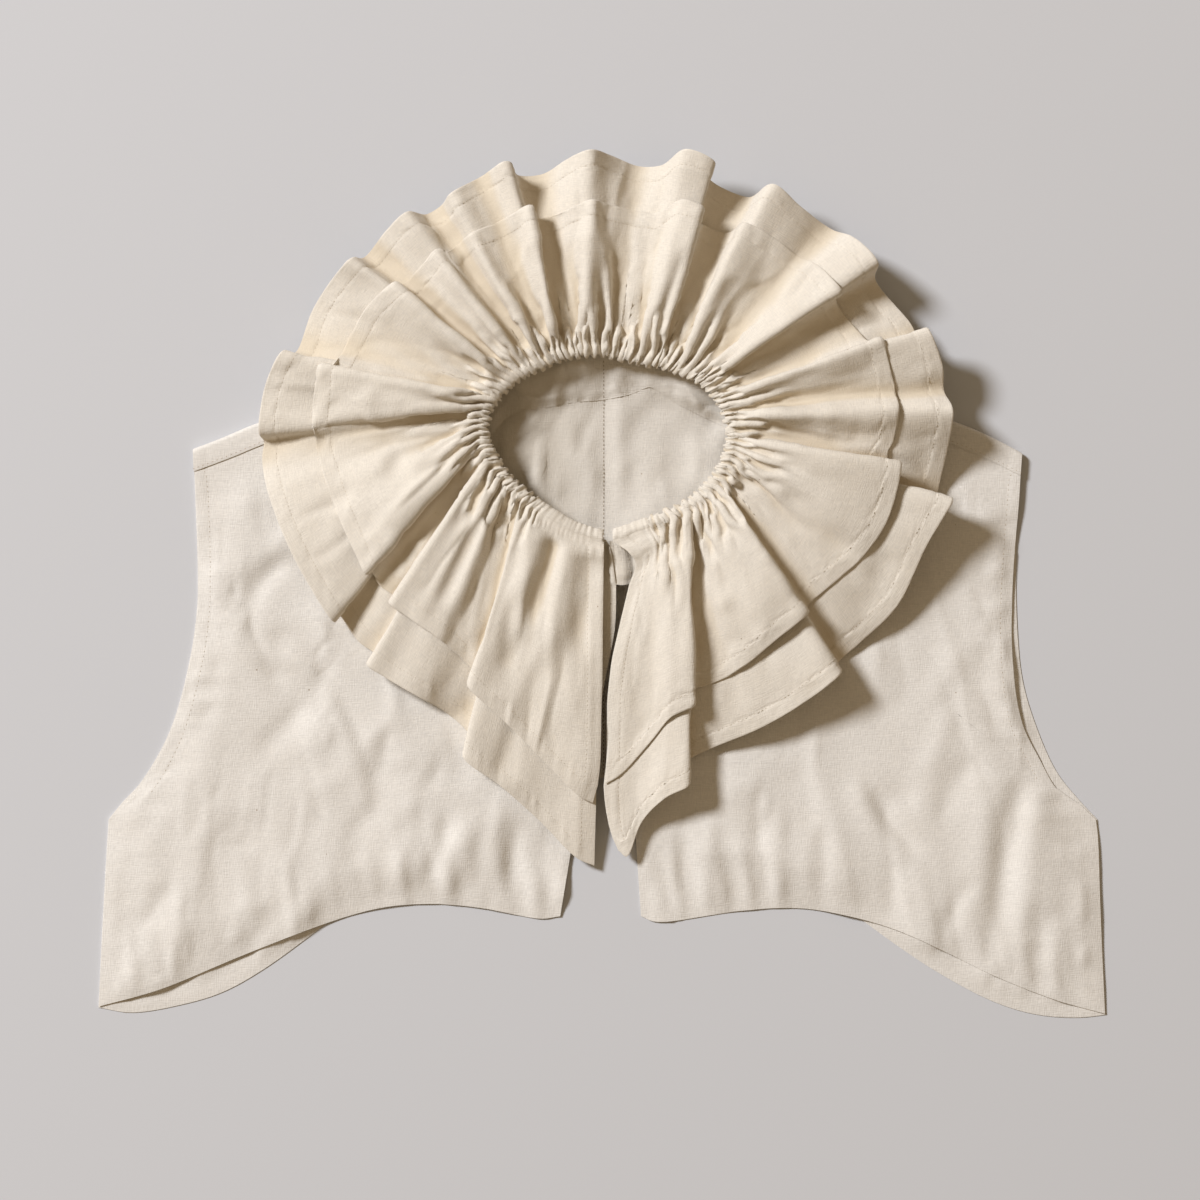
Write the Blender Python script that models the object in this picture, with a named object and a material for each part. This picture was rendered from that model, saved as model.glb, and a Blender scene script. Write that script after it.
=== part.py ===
"""Ruff collar on an open, sleeveless bodice, laid on its back.

Frame: metres, +X to the wearer's left, +Y towards the nape, +Z up, floor at z = 0. The names left and
right are those of a reader who looks down on the garment, so the left front is on the wearer's right.
Every cloth piece is one thin closed shell: a grid of points on its middle, moved out half a wall each way.
"""
import math

import bpy
import numpy as np
from mathutils.kdtree import KDTree

# ---------------------------------------------------------------- driving sizes, in millimetres
MM = 0.001
PANEL_WALL = 1.2          # bodice cloth, turned edges counted in
TIER_WALL = 1.0           # ruffle cloth
CASING_WALL = 1.0         # narrow gathered binding round the neck
FACING_WALL = 1.0         # back neck facing
SEAM_GAP = 1.5            # between the middles' edges at a shoulder seam, so that the walls stay apart
LAYER_SPACE = 1.95        # least distance between the middles of two layers that lie on each other
LAYING_PASSES = 5
LAYING_SHARE = 0.6        # share of a lack of height that one pass makes good
SUPPORT_PARTS = (16, 4)   # samples to a facet, along rows and columns, of what is lain on
LAID_PARTS = (6, 3)       # and of what lies on it

NECK_CENTRE = (3.1, 74.1)
CASING_WIDTH = 8.0        # seen from above
CASING_DROP = 6.0         # depth of its inner wall
GATHERS = 72              # puckers of the casing
GATHER_DEPTH = 0.65
TIER_START = 3.0          # the ruffles start this far outside the neck edge, under the casing
FACING_START = 1.2        # and the facing this far
UPPER_BELOW = 2.6         # middle of each layer under the middle of the casing
LOWER_BELOW = 4.7
FRONT_BELOW = 6.9
BACK_BELOW = 11.6
CASING_ENDS = (2.2, 357.8)        # turn of the casing's two ends, in degrees
CASING_FULL = (8.0, 33.0)         # turns between which its gathers reach their full depth
CASING_SMOOTH = (325.0, 345.0)    # and between which they fade to the smooth stretch
SMOOTH_SHARE = 0.2                # depth left there
WRAP_ROWS = (45.0, 90.0, 135.0, 180.0)   # rows of the back round its shoulder fold, in degrees
HIDDEN_NECK_ROWS = 4              # steps of a front's neck line under the shoulder's wrapped rows
SHOULDER_TURNS = (135.0, 228.0)   # turn at which the left and right shoulders meet the neck

FRONT_LIFT = 4.4          # middle of a front where it lies over the back with air between
FRONT_EDGE_LIFT = 2.35    # middle of a front at its side seam
FRONT_FLOOR_LIFT = 1.5    # middle of a front where it hangs past the back's hem
SIDE_REACH = 26.0         # distance in which a front rises from its side seam
DROOP_REACH = 45.0        # distance in which a front sinks past the back's hem
FRONT_NECK_REACH = 62.0   # distance in which a front climbs to the neck edge
BACK_NECK_REACH = 31.0
SHOULDER_TURNED = 9.4     # the back wraps over the shoulder by this much before its seam

SIDE_SHARES = (0.0, 0.3, 0.55, 0.72, 0.84, 0.93, 1.0)   # rows up the side, closer near the neck
ARMHOLE_ROWS = 10
PANEL_COLUMNS = 15
FOLD_STEPS = 2            # grid columns from one row of FOLDS to the next
RIB_STEPS = (0.0, 0.08, 0.18, 0.32, 0.5, 0.75, 1.0)
GATHER_STEPS = 3
HUMP = 4.5                # a ruffle bows up by this much between neck and hem
UPPER_GROWTH = 0.55       # below 1: the flutes are deep already near the neck
LOWER_GROWTH = 2.0        # above 1: they open late, clear of the upper tier
NECK_LEVEL = 0.18         # share of the rib that stays nearly level as it leaves the casing
BOW_END = 0.48            # share of the rib over which a front end swings sideways
LEFT_END_BOW = 6.8
RIGHT_END_BOW = 13.5

# Neck edge seen from above: turn in degrees, clockwise from the centre front by the wearer's right
# side, then distance from NECK_CENTRE and height of the casing's middle.
NECK = (
    (0, 47.3, 18.5), (20, 46.5, 19.0), (40, 46.7, 19.5), (60, 51.2, 20.0), (80, 58.9, 20.5),
    (100, 64.8, 21.0), (120, 60.3, 21.0), (140, 53.1, 21.0), (160, 49.4, 21.0), (180, 46.4, 21.0),
    (200, 45.9, 21.0), (220, 51.6, 21.5), (240, 59.3, 22.0), (260, 63.6, 22.5), (280, 60.6, 22.5),
    (300, 54.8, 22.0), (320, 48.3, 21.0), (340, 45.3, 19.5), (360, 47.3, 18.5),
)

# One row for each line of the ruffles from neck to hem, clockwise from the centre front:
# what it is, turn at the neck, then the hem point of the short upper tier and of the long lower one.
FOLDS = (
    # line        turn    upper x, y, z     lower x, y, z
    ("end",        3.0,   -3, -110, 10,     -4, -145, 6.0),
    ("point",      7.5,  -10, -108, 12,    -13, -141, 7.5),
    ("slack",     18.2,  -28, -93, 13,     -32, -123, 8.0),
    ("crest",     36.2,  -50, -71, 17,     -53, -104, 12),
    ("fold",      53.6,  -69, -52, 19,     -72, -89, 14),
    ("foot",      58.5,  -65, -47, 10,     -68, -80, 6.5),
    ("valley",    64.9,  -74, -37, 9,      -80, -67, 6.5),
    ("crest",     69.3,  -84, -28, 17,     -95, -58, 12),
    ("crest",     76.5, -101, -16, 19,    -112, -48, 14),
    ("fold",      81.5, -110, -9, 20,     -122, -41, 15),
    ("foot",      83.6, -107, -6, 10,     -118, -36, 6.5),
    ("valley",    86.4, -114, -1, 9,      -127, -29, 6.5),
    ("foot",      88.2, -121, 9, 10,      -137, -15, 6.5),
    ("fold",      89.5, -122, 6, 18,      -139, -19, 13),
    ("crest",     94.2, -134, 30, 23,     -159, 13, 17),
    ("slope",     98.3, -144, 57, 19,     -173, 47, 13),
    ("valley",   100.8, -148, 71, 9.5,    -177, 66, 6.5),
    ("foot",     102.9, -149, 79, 11,     -177, 73, 8.0),
    ("fold",     104.4, -150, 84, 17,     -178, 80, 12),
    ("crest",    107.1, -149, 99, 23,     -175, 102, 17),
    ("fold",     110.3, -146, 113, 23,    -165, 120, 18),
    ("foot",     112.4, -141, 117, 13,    -160, 128, 9),
    ("valley",   116.4, -131, 129, 11,    -151, 143, 7.5),
    ("slope",    119.4, -122, 144, 20,    -140, 159, 16),
    ("crest",    122.7, -108, 156, 27,    -130, 169, 24),
    ("foot",     126.1, -102, 159, 17,    -122, 176, 14),
    ("slope",    129.3,  -94, 165, 20,    -112, 184, 17),
    ("crest",    132.5,  -86, 173, 25,    -101, 193, 23),
    ("valley",   136.2,  -80, 175, 18,     -94, 195, 16),
    ("foot",     139.2,  -74, 178, 18,     -86, 198, 16),
    ("fold",     140.9,  -68, 182, 24,     -78, 203, 22),
    ("slope",    146.1,  -54, 188, 18,     -63, 212, 16),
    ("crest",    151.9,  -37, 196, 30,     -49, 219, 29),
    ("foot",     154.6,  -35, 190, 16,     -43, 213, 14),
    ("valley",   159.9,  -24, 192, 13,     -31, 214, 11),
    ("rise",     164.0,  -14, 196, 22,     -18, 221, 20),
    ("crest",    169.4,   -5, 199, 29,      -6, 225, 28),
    ("slope",    177.4,    4, 197, 22,       4, 223, 20),
    ("valley",   187.0,   18, 194, 14,      19, 218, 12),
    ("rise",     196.8,   29, 193, 18,      31, 218, 16),
    ("crest",    204.3,   42, 199, 30,      44, 225, 29),
    ("fold",     209.9,   51, 195, 30,      58, 219, 29),
    ("foot",     212.4,   50, 188, 16,      56, 211, 14),
    ("valley",   217.7,   65, 183, 13,      76, 202, 11),
    ("crest",    222.2,   74, 187, 26,      89, 207, 26),
    ("slope",    226.4,   87, 181, 24,     103, 196, 22),
    ("valley",   230.3,  101, 171, 18,     119, 185, 16),
    ("slope",    234.2,  112, 165, 26,     130, 180, 25),
    ("fold",     237.8,  123, 152, 33,     142, 167, 32),
    ("foot",     240.2,  121, 147, 20,     142, 158, 18),
    ("valley",   244.8,  134, 130, 18,     160, 136, 18),
    ("foot",     246.9,  140, 124, 20,     164, 129, 19),
    ("fold",     248.6,  144, 127, 31,     168, 133, 31),
    ("slope",    251.4,  149, 111, 26,     176, 113, 27),
    ("valley",   254.6,  151, 103, 22,     177, 101, 23),
    ("crest",    258.2,  153, 91, 32,      181, 90, 31),
    ("slope",    261.5,  151, 76, 27,      179, 70, 28),
    ("valley",   264.6,  148, 68, 21,      175, 51, 22),
    ("foot",     266.8,  148, 60, 21,      174, 43, 21),
    ("fold",     268.6,  154, 63, 33,      181, 44, 32),
    ("crest",    273.4,  148, 35, 34,      168, 21, 33),
    ("slope",    277.9,  135, 15, 29,      153, -11, 30),
    ("valley",   282.4,  122, 3, 20,       135, -29, 24),
    ("foot",     287.6,  107, -10, 19,     123, -40, 22),
    ("fold",     291.2,  106, -15, 36,     123, -46, 35),
    ("crest",    296.3,   90, -28, 34,     104, -61, 33),
    ("slope",    301.2,   72, -43, 25,      82, -74, 24),
    ("valley",   305.4,   54, -52, 14,      54, -86, 12),
    ("foot",     308.6,   44, -54, 13,      42, -93, 12),
    ("fold",     311.0,   47, -62, 25,      45, -103, 22),
    ("crest",    320.0,   36, -68, 24,      33, -110, 20),
    ("slope",    331.6,   26, -80, 17,      20, -123, 12),
    ("point",    348.0,   10, -98, 13,      11, -141, 8.0),
    ("end",      357.0,    2, -103, 10,      6, -138, 6.5),
)

# Outlines of the bodice seen from above, as x, y. "side" runs up the side seam, "armhole" on to the
# shoulder, "hem" from the side to the centre, "centre" up to the neck, "shoulder" from tip to neck.
LEFT_FRONT = {
    "side": ((-262.4, -219.6), (-260.0, -174.0), (-257.4, -130.0), (-256.9, -122.0)),
    "armhole": ((-256.9, -122.0), (-248.6, -114.0), (-239.2, -103.7), (-224.6, -76.7),
                (-214.8, -41.3), (-210.6, -12.7), (-210.1, 8.1), (-211.6, 49.7), (-212.4, 60.0)),
    "hem": ((-262.4, -219.6), (-229.8, -210.3), (-188.2, -193.2), (-146.6, -177.1),
            (-115.4, -168.2), (-89.4, -166.1), (-63.4, -168.2), (-32.0, -173.8), (-21.8, -172.5)),
    "centre": ((-21.8, -172.5), (-16.1, -137.5), (-8.8, -90.7), (-2.6, -33.5), (-1.2, 13.0),
               (0.9, 23.7)),
}
RIGHT_FRONT = {
    "side": ((262.4, -223.4), (260.0, -170.0), (258.6, -130.0), (257.6, -122.0)),
    "armhole": ((257.6, -122.0), (248.6, -113.7), (238.2, -107.4), (227.8, -89.7),
                (218.9, -71.5), (214.2, -41.3), (214.2, 1.5), (217.4, 44.5), (217.4, 51.2)),
    "hem": ((262.4, -223.4), (238.0, -216.6), (207.0, -204.6), (155.0, -180.2), (118.6, -170.3),
            (97.8, -168.2), (71.8, -169.8), (28.0, -175.4), (20.3, -172.5)),
    "centre": ((20.3, -172.5), (16.6, -128.2), (11.0, -60.0), (6.5, 0.0), (5.3, 23.7)),
}
LEFT_BACK = {
    "side": ((-262.8, -220.2), (-260.5, -174.0), (-258.0, -130.0), (-257.5, -122.0)),
    "armhole": ((-257.5, -122.0), (-250.2, -113.0), (-240.6, -102.5), (-225.6, -76.0),
                (-215.6, -41.0), (-211.4, -12.5), (-211.0, 8.1), (-212.4, 49.7), (-213.2, 68.9)),
    "hem": ((-262.8, -220.2), (-245.4, -222.8), (-219.4, -218.7), (-198.6, -212.4),
            (-177.8, -201.0), (-141.4, -174.5), (-105.0, -146.9), (-53.0, -114.0), (1.75, -100.0)),
    "shoulder": ((-213.2, 68.9), (-196.0, 75.7), (-176.8, 83.5), (-105.0, 104.0), (-38.0, 114.5)),
}
RIGHT_BACK = {
    "side": ((262.8, -224.0), (260.6, -170.0), (259.2, -130.0), (258.4, -122.0)),
    "armhole": ((258.4, -122.0), (248.6, -111.5), (237.1, -97.0), (226.2, -72.5),
                (219.4, -49.1), (216.6, -20.0), (216.6, 23.7), (218.4, 50.0), (220.2, 66.8)),
    "hem": ((262.8, -224.0), (248.6, -225.4), (227.8, -224.0), (206.5, -218.0), (176.3, -202.5),
            (139.9, -177.7), (105.0, -150.0), (53.0, -116.0), (2.25, -100.0)),
    "shoulder": ((220.2, 66.8), (206.5, 74.0), (180.0, 84.5), (108.0, 103.0), (44.0, 112.5)),
}
# Main soft creases of the fronts: from x, y to x, y, half width, height.
CREASES = (
    (-157, 33, -190, -20, 14, 2.2), (-120, -60, -150, -130, 16, 1.6), (-60, -100, -72, -160, 10, 1.4),
    (-226, -70, -252, -180, 14, 1.8), (-30, -95, -42, -165, 9, 1.2),
    (214, -85, 206, -180, 14, 2.4), (98, -100, 155, -140, 14, 2.0), (190, 20, 150, -60, 16, 1.8),
    (82, -120, 88, -166, 9, 1.4), (236, -120, 246, -200, 12, 1.6),
)
# Lower edge of the back neck facing, left to right.
FACING_EDGE = (
    (-66.0, 84.0), (-53.0, 91.2), (-32.2, 92.3), (-15.6, 95.4), (1.6, 97.0), (14.6, 99.6),
    (22.4, 102.7), (25.0, 103.2), (38.0, 95.4), (51.0, 88.7), (65.5, 81.9), (72.0, 78.0),
)
FACING_TOP_TURNS = (106.0, 256.0)
FACING_ROWS = 4


# ---------------------------------------------------------------- curves and surfaces
def curve(points, count):
    """Even samples of a smooth curve through points; it reaches both ends."""
    points = np.array(points, float)
    chord = np.linalg.norm(np.diff(points, axis=0), axis=1)
    at = np.concatenate([[0.0], np.cumsum(np.sqrt(chord))])
    first = 2 * points[0] - points[1]
    last = 2 * points[-1] - points[-2]
    ring = np.vstack([first, points, last])
    knots = np.concatenate([[at[0] - (at[1] - at[0])], at, [at[-1] + (at[-1] - at[-2])]])
    fine = np.linspace(at[0], at[-1], 40 * len(points))
    dense = np.array([curve_point(ring, knots, t) for t in fine])
    length = np.concatenate([[0.0], np.cumsum(np.linalg.norm(np.diff(dense, axis=0), axis=1))])
    want = np.linspace(0.0, length[-1], count)
    return np.stack([np.interp(want, length, dense[:, k]) for k in range(dense.shape[1])], axis=1)


def curve_point(ring, knots, t):
    """Point of a Catmull-Rom curve whose knots may be unevenly spaced."""
    i = int(np.clip(np.searchsorted(knots, t, side="right") - 1, 1, len(ring) - 3))
    p0, p1, p2, p3 = ring[i - 1:i + 3]
    t0, t1, t2, t3 = knots[i - 1:i + 3]
    a1 = p0 * (t1 - t) / (t1 - t0) + p1 * (t - t0) / (t1 - t0)
    a2 = p1 * (t2 - t) / (t2 - t1) + p2 * (t - t1) / (t2 - t1)
    a3 = p2 * (t3 - t) / (t3 - t2) + p3 * (t - t2) / (t3 - t2)
    b1 = a1 * (t2 - t) / (t2 - t0) + a2 * (t - t0) / (t2 - t0)
    b2 = a2 * (t3 - t) / (t3 - t1) + a3 * (t - t1) / (t3 - t1)
    return b1 * (t2 - t) / (t2 - t1) + b2 * (t - t1) / (t2 - t1)


def smooth_step(x):
    """0 below 0, 1 above 1, smooth between."""
    x = np.clip(x, 0.0, 1.0)
    return x * x * (3.0 - 2.0 * x)


def neck_edge(turn, outwards=0.0):
    """Point of the neck edge at a turn, moved outwards in plan, with the casing's height."""
    rows = np.array(NECK, float)
    wrapped = np.vstack([rows[-3:-1] - (360, 0, 0), rows, rows[1:3] + (360, 0, 0)])
    radius = smooth_table(wrapped[:, 0], wrapped[:, 1], turn) + outwards
    height = np.interp(turn, wrapped[:, 0], wrapped[:, 2])
    angle = np.radians(270.0 - np.asarray(turn, float))
    x = NECK_CENTRE[0] + radius * np.cos(angle)
    y = NECK_CENTRE[1] + radius * np.sin(angle)
    return np.stack([x, y, height + 0.0 * x], axis=-1)


def smooth_table(at, values, x):
    """Catmull-Rom reading of an evenly spaced table."""
    step = at[1] - at[0]
    place = (np.asarray(x, float) - at[0]) / step
    i = np.clip(np.floor(place).astype(int), 1, len(at) - 3)
    f = place - i
    p0, p1, p2, p3 = (values[i + k] for k in (-1, 0, 1, 2))
    return p1 + 0.5 * f * (p2 - p0 + f * (2 * p0 - 5 * p1 + 4 * p2 - p3 + f * (3 * (p1 - p2) + p3 - p0)))


def patch(left, right, bottom, top):
    """Grid between four edge curves that share their corners; rows run from bottom to top."""
    rows, columns = len(left), len(bottom)
    v = np.linspace(0.0, 1.0, rows)[:, None, None]
    u = np.linspace(0.0, 1.0, columns)[None, :, None]
    across = (1 - u) * left[:, None, :] + u * right[:, None, :]
    along = (1 - v) * bottom[None, :, :] + v * top[None, :, :]
    corners = ((1 - u) * (1 - v) * bottom[0] + u * (1 - v) * bottom[-1]
               + (1 - u) * v * top[0] + u * v * top[-1])
    return across + along - corners


def distance_to(points, path):
    """Distance in plan from each point to a path of straight pieces."""
    start, end = path[:-1, :2], path[1:, :2]
    way = end - start
    rel = points[..., None, :2] - start
    share = np.clip((rel * way).sum(-1) / (way * way).sum(-1), 0.0, 1.0)
    return np.linalg.norm(rel - share[..., None] * way, axis=-1).min(-1)


def grid_normals(grid):
    """Unit normals of a grid of points."""
    down = np.gradient(grid, axis=0)
    across = np.gradient(grid, axis=1)
    normals = np.cross(across, down)
    return normals / np.linalg.norm(normals, axis=-1, keepdims=True)


def subdivided(grid, row_parts, column_parts):
    """The grid's own facets, sampled more finely."""
    rows, columns = grid.shape[:2]
    at_row = np.linspace(0, rows - 1, (rows - 1) * row_parts + 1)
    at_column = np.linspace(0, columns - 1, (columns - 1) * column_parts + 1)
    r = np.minimum(at_row.astype(int), rows - 2)
    c = np.minimum(at_column.astype(int), columns - 2)
    fr = (at_row - r)[:, None, None]
    fc = (at_column - c)[None, :, None]
    here, beside = grid[r][:, c], grid[r][:, c + 1]
    above, across = grid[r + 1][:, c], grid[r + 1][:, c + 1]
    first = here + fc * (beside - here) + fr * (across - beside)
    second = here + fr * (above - here) + fc * (across - above)
    return np.where(fc >= fr, first, second)


def lack_of_height(points, tree, heights, space):
    """How far each point must go up to stay a given distance from the points in the tree."""
    lack = np.zeros(points.shape[:2])
    for place in np.ndindex(*lack.shape):
        x, y, z = points[place]
        for _, i, away in tree.find_range((x, y, 0.0), space):
            lack[place] = max(lack[place], heights[i] + math.sqrt(space * space - away * away) - z)
    return lack


def laid_on(grid, supports, space):
    """Grid lifted, where it must be, so that its facets keep a given distance from what they lie on."""
    laid = grid.copy()
    under = np.vstack([subdivided(s, *SUPPORT_PARTS).reshape(-1, 3) for s in supports])
    tree = KDTree(len(under))
    for i, point in enumerate(under):
        tree.insert((point[0], point[1], 0.0), i)
    tree.balance()
    heights = under[:, 2]
    row_parts, column_parts = LAID_PARTS
    for _ in range(LAYING_PASSES):
        lack = lack_of_height(subdivided(laid, row_parts, column_parts), tree, heights, space)
        for r in range(laid.shape[0]):
            rows = slice(max(0, (r - 1) * row_parts + 1), (r + 1) * row_parts)
            for c in range(laid.shape[1]):
                columns = slice(max(0, (c - 1) * column_parts + 1), (c + 1) * column_parts)
                laid[r, c, 2] += lack[rows, columns].max() * LAYING_SHARE
    return laid


# ---------------------------------------------------------------- heights of the flat-laid bodice
LEFT_NECK = neck_edge(np.linspace(3.0, SHOULDER_TURNS[0], 40), TIER_START)
RIGHT_NECK = neck_edge(np.linspace(357.0, SHOULDER_TURNS[1], 40), TIER_START)
BACK_NECK = neck_edge(np.linspace(SHOULDER_TURNS[0], SHOULDER_TURNS[1], 40), TIER_START)


def back_height(points):
    """Middle of the back: flat on the floor, climbing to the nape."""
    near = 1.0 - smooth_step(distance_to(points, BACK_NECK) / BACK_NECK_REACH)
    turn = (270.0 - np.degrees(np.arctan2(points[..., 1] - NECK_CENTRE[1],
                                          points[..., 0] - NECK_CENTRE[0]))) % 360.0
    target = neck_edge(turn)[..., 2] - BACK_BELOW
    floor = PANEL_WALL / 2
    return floor + (target - floor) * near


def front_height(points, neck, side, back_hem):
    """Middle of a front: over the back, down to the side seam, up to the neck, past the back's hem."""
    inside = smooth_step(distance_to(points, side) / SIDE_REACH)
    height = FRONT_EDGE_LIFT + (FRONT_LIFT - FRONT_EDGE_LIFT) * inside
    order = np.argsort(back_hem[:, 0])
    hem_y = np.interp(points[..., 0], back_hem[order, 0], back_hem[order, 1])
    past = smooth_step((hem_y - points[..., 1]) / DROOP_REACH)
    height = height + (FRONT_FLOOR_LIFT - height) * past
    for x0, y0, x1, y1, width, rise in CREASES:
        away = distance_to(points, np.array([(x0, y0), (x1, y1)], float))
        height = height + rise * np.exp(-(away / width) ** 2) * inside
    near = (1.0 - smooth_step(distance_to(points, neck) / FRONT_NECK_REACH)) ** 1.5
    turn = (270.0 - np.degrees(np.arctan2(points[..., 1] - NECK_CENTRE[1],
                                          points[..., 0] - NECK_CENTRE[0]))) % 360.0
    target = neck_edge(turn)[..., 2] - FRONT_BELOW
    return height + (target - height) * near


def with_height(plan, height):
    """Plan grid and heights joined into points."""
    return np.concatenate([plan[..., :2], np.asarray(height)[..., None]], axis=-1)


def two_part(first, second):
    """One edge made of two curves that meet at a corner kept as a grid point."""
    dense = curve(first, 201)
    picked = dense[[round(200 * share) for share in SIDE_SHARES]]
    return np.vstack([picked, curve(second, ARMHOLE_ROWS + 1)[1:]])


def back_panel(outline, neck_turns):
    """Half back: flat grid from hem to shoulder fold, then over the fold to the shoulder seam."""
    centre_x = outline["hem"][-1][0]
    neck = neck_edge(np.linspace(neck_turns[0], neck_turns[1], 30), TIER_START)[:, :2]
    neck[0, 0] = centre_x
    side = two_part(outline["side"], outline["armhole"])
    middle = two_part((outline["hem"][-1], tuple(neck[0])), neck)
    shoulder = list(outline["shoulder"])
    shoulder[-1] = tuple(neck[-1])
    hem = curve(outline["hem"], PANEL_COLUMNS + 1)
    plan = patch(side, middle, hem, curve(shoulder, PANEL_COLUMNS + 1))
    flat = with_height(plan, back_height(plan))
    way_round = math.copysign(10.0, neck_turns[0] - neck_turns[1]) * -1.0
    return np.concatenate([flat, shoulder_fold(flat[-1], flat[-2], neck_turns[1], way_round)], axis=0)


def shoulder_fold(edge, before, neck_turn, way_round):
    """Rows that carry the back over its shoulder fold, onto the front."""
    way = edge[:, :2] - before[:, :2]
    along = np.gradient(edge[:, :2], axis=0)
    out = np.stack([-along[:, 1], along[:, 0]], axis=1)
    out = out / np.linalg.norm(out, axis=1, keepdims=True)
    out = out * np.sign((out * way).sum(1))[:, None]
    along_neck = neck_edge(neck_turn, TIER_START)[:2] - neck_edge(neck_turn + way_round, TIER_START)[:2]
    along_neck = along_neck / np.linalg.norm(along_neck)
    share = np.linspace(0.0, 1.0, len(edge))[:, None] ** 3
    out = out * (1 - share) + along_neck * share
    out = out / np.linalg.norm(out, axis=1, keepdims=True)
    top = shoulder_height(edge)
    radius = (top - edge[:, 2]) / 2
    rows = []
    for degrees in WRAP_ROWS:
        a = math.radians(degrees)
        plan = edge[:, :2] + out * (radius * math.sin(a))[:, None]
        rows.append(with_height(plan, edge[:, 2] + radius * (1.0 - math.cos(a))))
    rows.append(with_height(edge[:, :2] - out * SHOULDER_TURNED, top))
    return np.array(rows)


def shoulder_height(points):
    """Middle of the upper layer along a shoulder."""
    near = np.minimum(distance_to(points, LEFT_NECK), distance_to(points, RIGHT_NECK))
    climb = (1.0 - smooth_step(near / FRONT_NECK_REACH)) ** 1.5
    turn = (270.0 - np.degrees(np.arctan2(points[:, 1] - NECK_CENTRE[1],
                                          points[:, 0] - NECK_CENTRE[0]))) % 360.0
    return FRONT_LIFT + (neck_edge(turn)[:, 2] - FRONT_BELOW - FRONT_LIFT) * climb


def front_panel(outline, neck_line, back_grid, back_hem):
    """Half front from hem to shoulder seam; its shoulder edge follows the back's seam edge."""
    seam = back_grid[-1]
    before = back_grid[-2]
    step = seam[:, :2] - before[:, :2]
    step = step / np.linalg.norm(step, axis=1, keepdims=True)
    shoulder = seam[:, :2] + step * SEAM_GAP
    side_part = list(outline["armhole"])
    side_part[-1] = tuple(shoulder[0])
    side = two_part(outline["side"], side_part)
    neck = [tuple(p) for p in neck_line[:-HIDDEN_NECK_ROWS, :2]] + [tuple(shoulder[-1])]
    centre = list(outline["centre"])
    centre[-1] = neck[0]
    middle = two_part(centre, neck)
    plan = patch(side, middle, curve(outline["hem"], PANEL_COLUMNS + 1), shoulder)
    side_line = curve(outline["side"], 8)
    grid = with_height(plan, front_height(plan, neck_line, side_line, back_hem))
    blend = smooth_step((np.arange(len(grid)) - (len(grid) - 3)) / 2.0)[:, None]
    grid[..., 2] = grid[..., 2] * (1 - blend) + seam[None, :, 2] * blend
    return grid


# ---------------------------------------------------------------- ruffles and casing
def hem_line(column):
    """Hem of one tier: a smooth curve through its points in FOLDS, and the turns that go with it."""
    rows = np.array([(f[1],) + f[column:column + 3] for f in FOLDS], float)
    ring = np.vstack([2 * rows[0] - rows[1], rows, 2 * rows[-1] - rows[-2]])
    chord = np.sqrt(np.linalg.norm(np.diff(ring[:, 1:], axis=0), axis=1))
    knots = np.concatenate([[0.0], np.cumsum(chord)])
    out = []
    for i in range(1, len(rows)):
        for k in range(FOLD_STEPS):
            t = knots[i] + (knots[i + 1] - knots[i]) * k / FOLD_STEPS
            out.append(curve_point(ring, knots, t))
    out.append(rows[-1])
    return np.array(out)


def tier(column, below, growth, left_bow, right_bow):
    """Middle of one ruffle: ribs from the neck to its hem line, fluted between."""
    line = hem_line(column)
    neck = neck_edge(line[:, 0], TIER_START)
    neck[:, 2] -= below
    hem = line[:, 1:]
    window = 4 * FOLD_STEPS
    padded = np.pad(hem[:, 2], window, mode="edge")
    mean = np.convolve(padded, np.ones(2 * window + 1) / (2 * window + 1), mode="valid")
    flute = hem[:, 2] - mean
    count = len(line)
    from_left = np.arange(count) / (3.0 * FOLD_STEPS)
    from_right = from_left[::-1]
    swing = left_bow * (1 - smooth_step(from_left)) + right_bow * (1 - smooth_step(from_right))
    rows = []
    for v in RIB_STEPS:
        row = neck + (hem - neck) * v
        rise = (mean - neck[:, 2]) * v + flute * v ** growth + HUMP * 4 * v * (1 - v)
        row[:, 2] = neck[:, 2] + rise * smooth_step(v / NECK_LEVEL)
        row[:, 0] += swing * math.sin(math.pi * min(1.0, v / BOW_END))
        rows.append(row)
    return np.array(rows)


def casing():
    """Middle of the neck casing: inner wall, top and outer lip, puckered by the gathers."""
    count = GATHERS * GATHER_STEPS + 1
    turn = np.linspace(CASING_ENDS[0], CASING_ENDS[1], count)
    phase = np.arange(count) * 2 * math.pi / GATHER_STEPS
    opened = smooth_step((turn - CASING_FULL[0]) / (CASING_FULL[1] - CASING_FULL[0]))
    faded = smooth_step((CASING_SMOOTH[1] - turn) / (CASING_SMOOTH[1] - CASING_SMOOTH[0]))
    full = opened * (SMOOTH_SHARE + (1.0 - SMOOTH_SHARE) * faded)
    pucker = GATHER_DEPTH * np.cos(phase) * full
    profile = ((0.0, -CASING_DROP, 0.3), (0.2, -0.4, 0.8), (CASING_WIDTH * 0.45, 0.7, 1.0),
               (CASING_WIDTH, 0.1, 1.0))
    rows = []
    for out, up, share in profile:
        row = neck_edge(turn, out)
        row[:, 2] += up + pucker * share
        rows.append(row)
    return np.array(rows)


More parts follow.
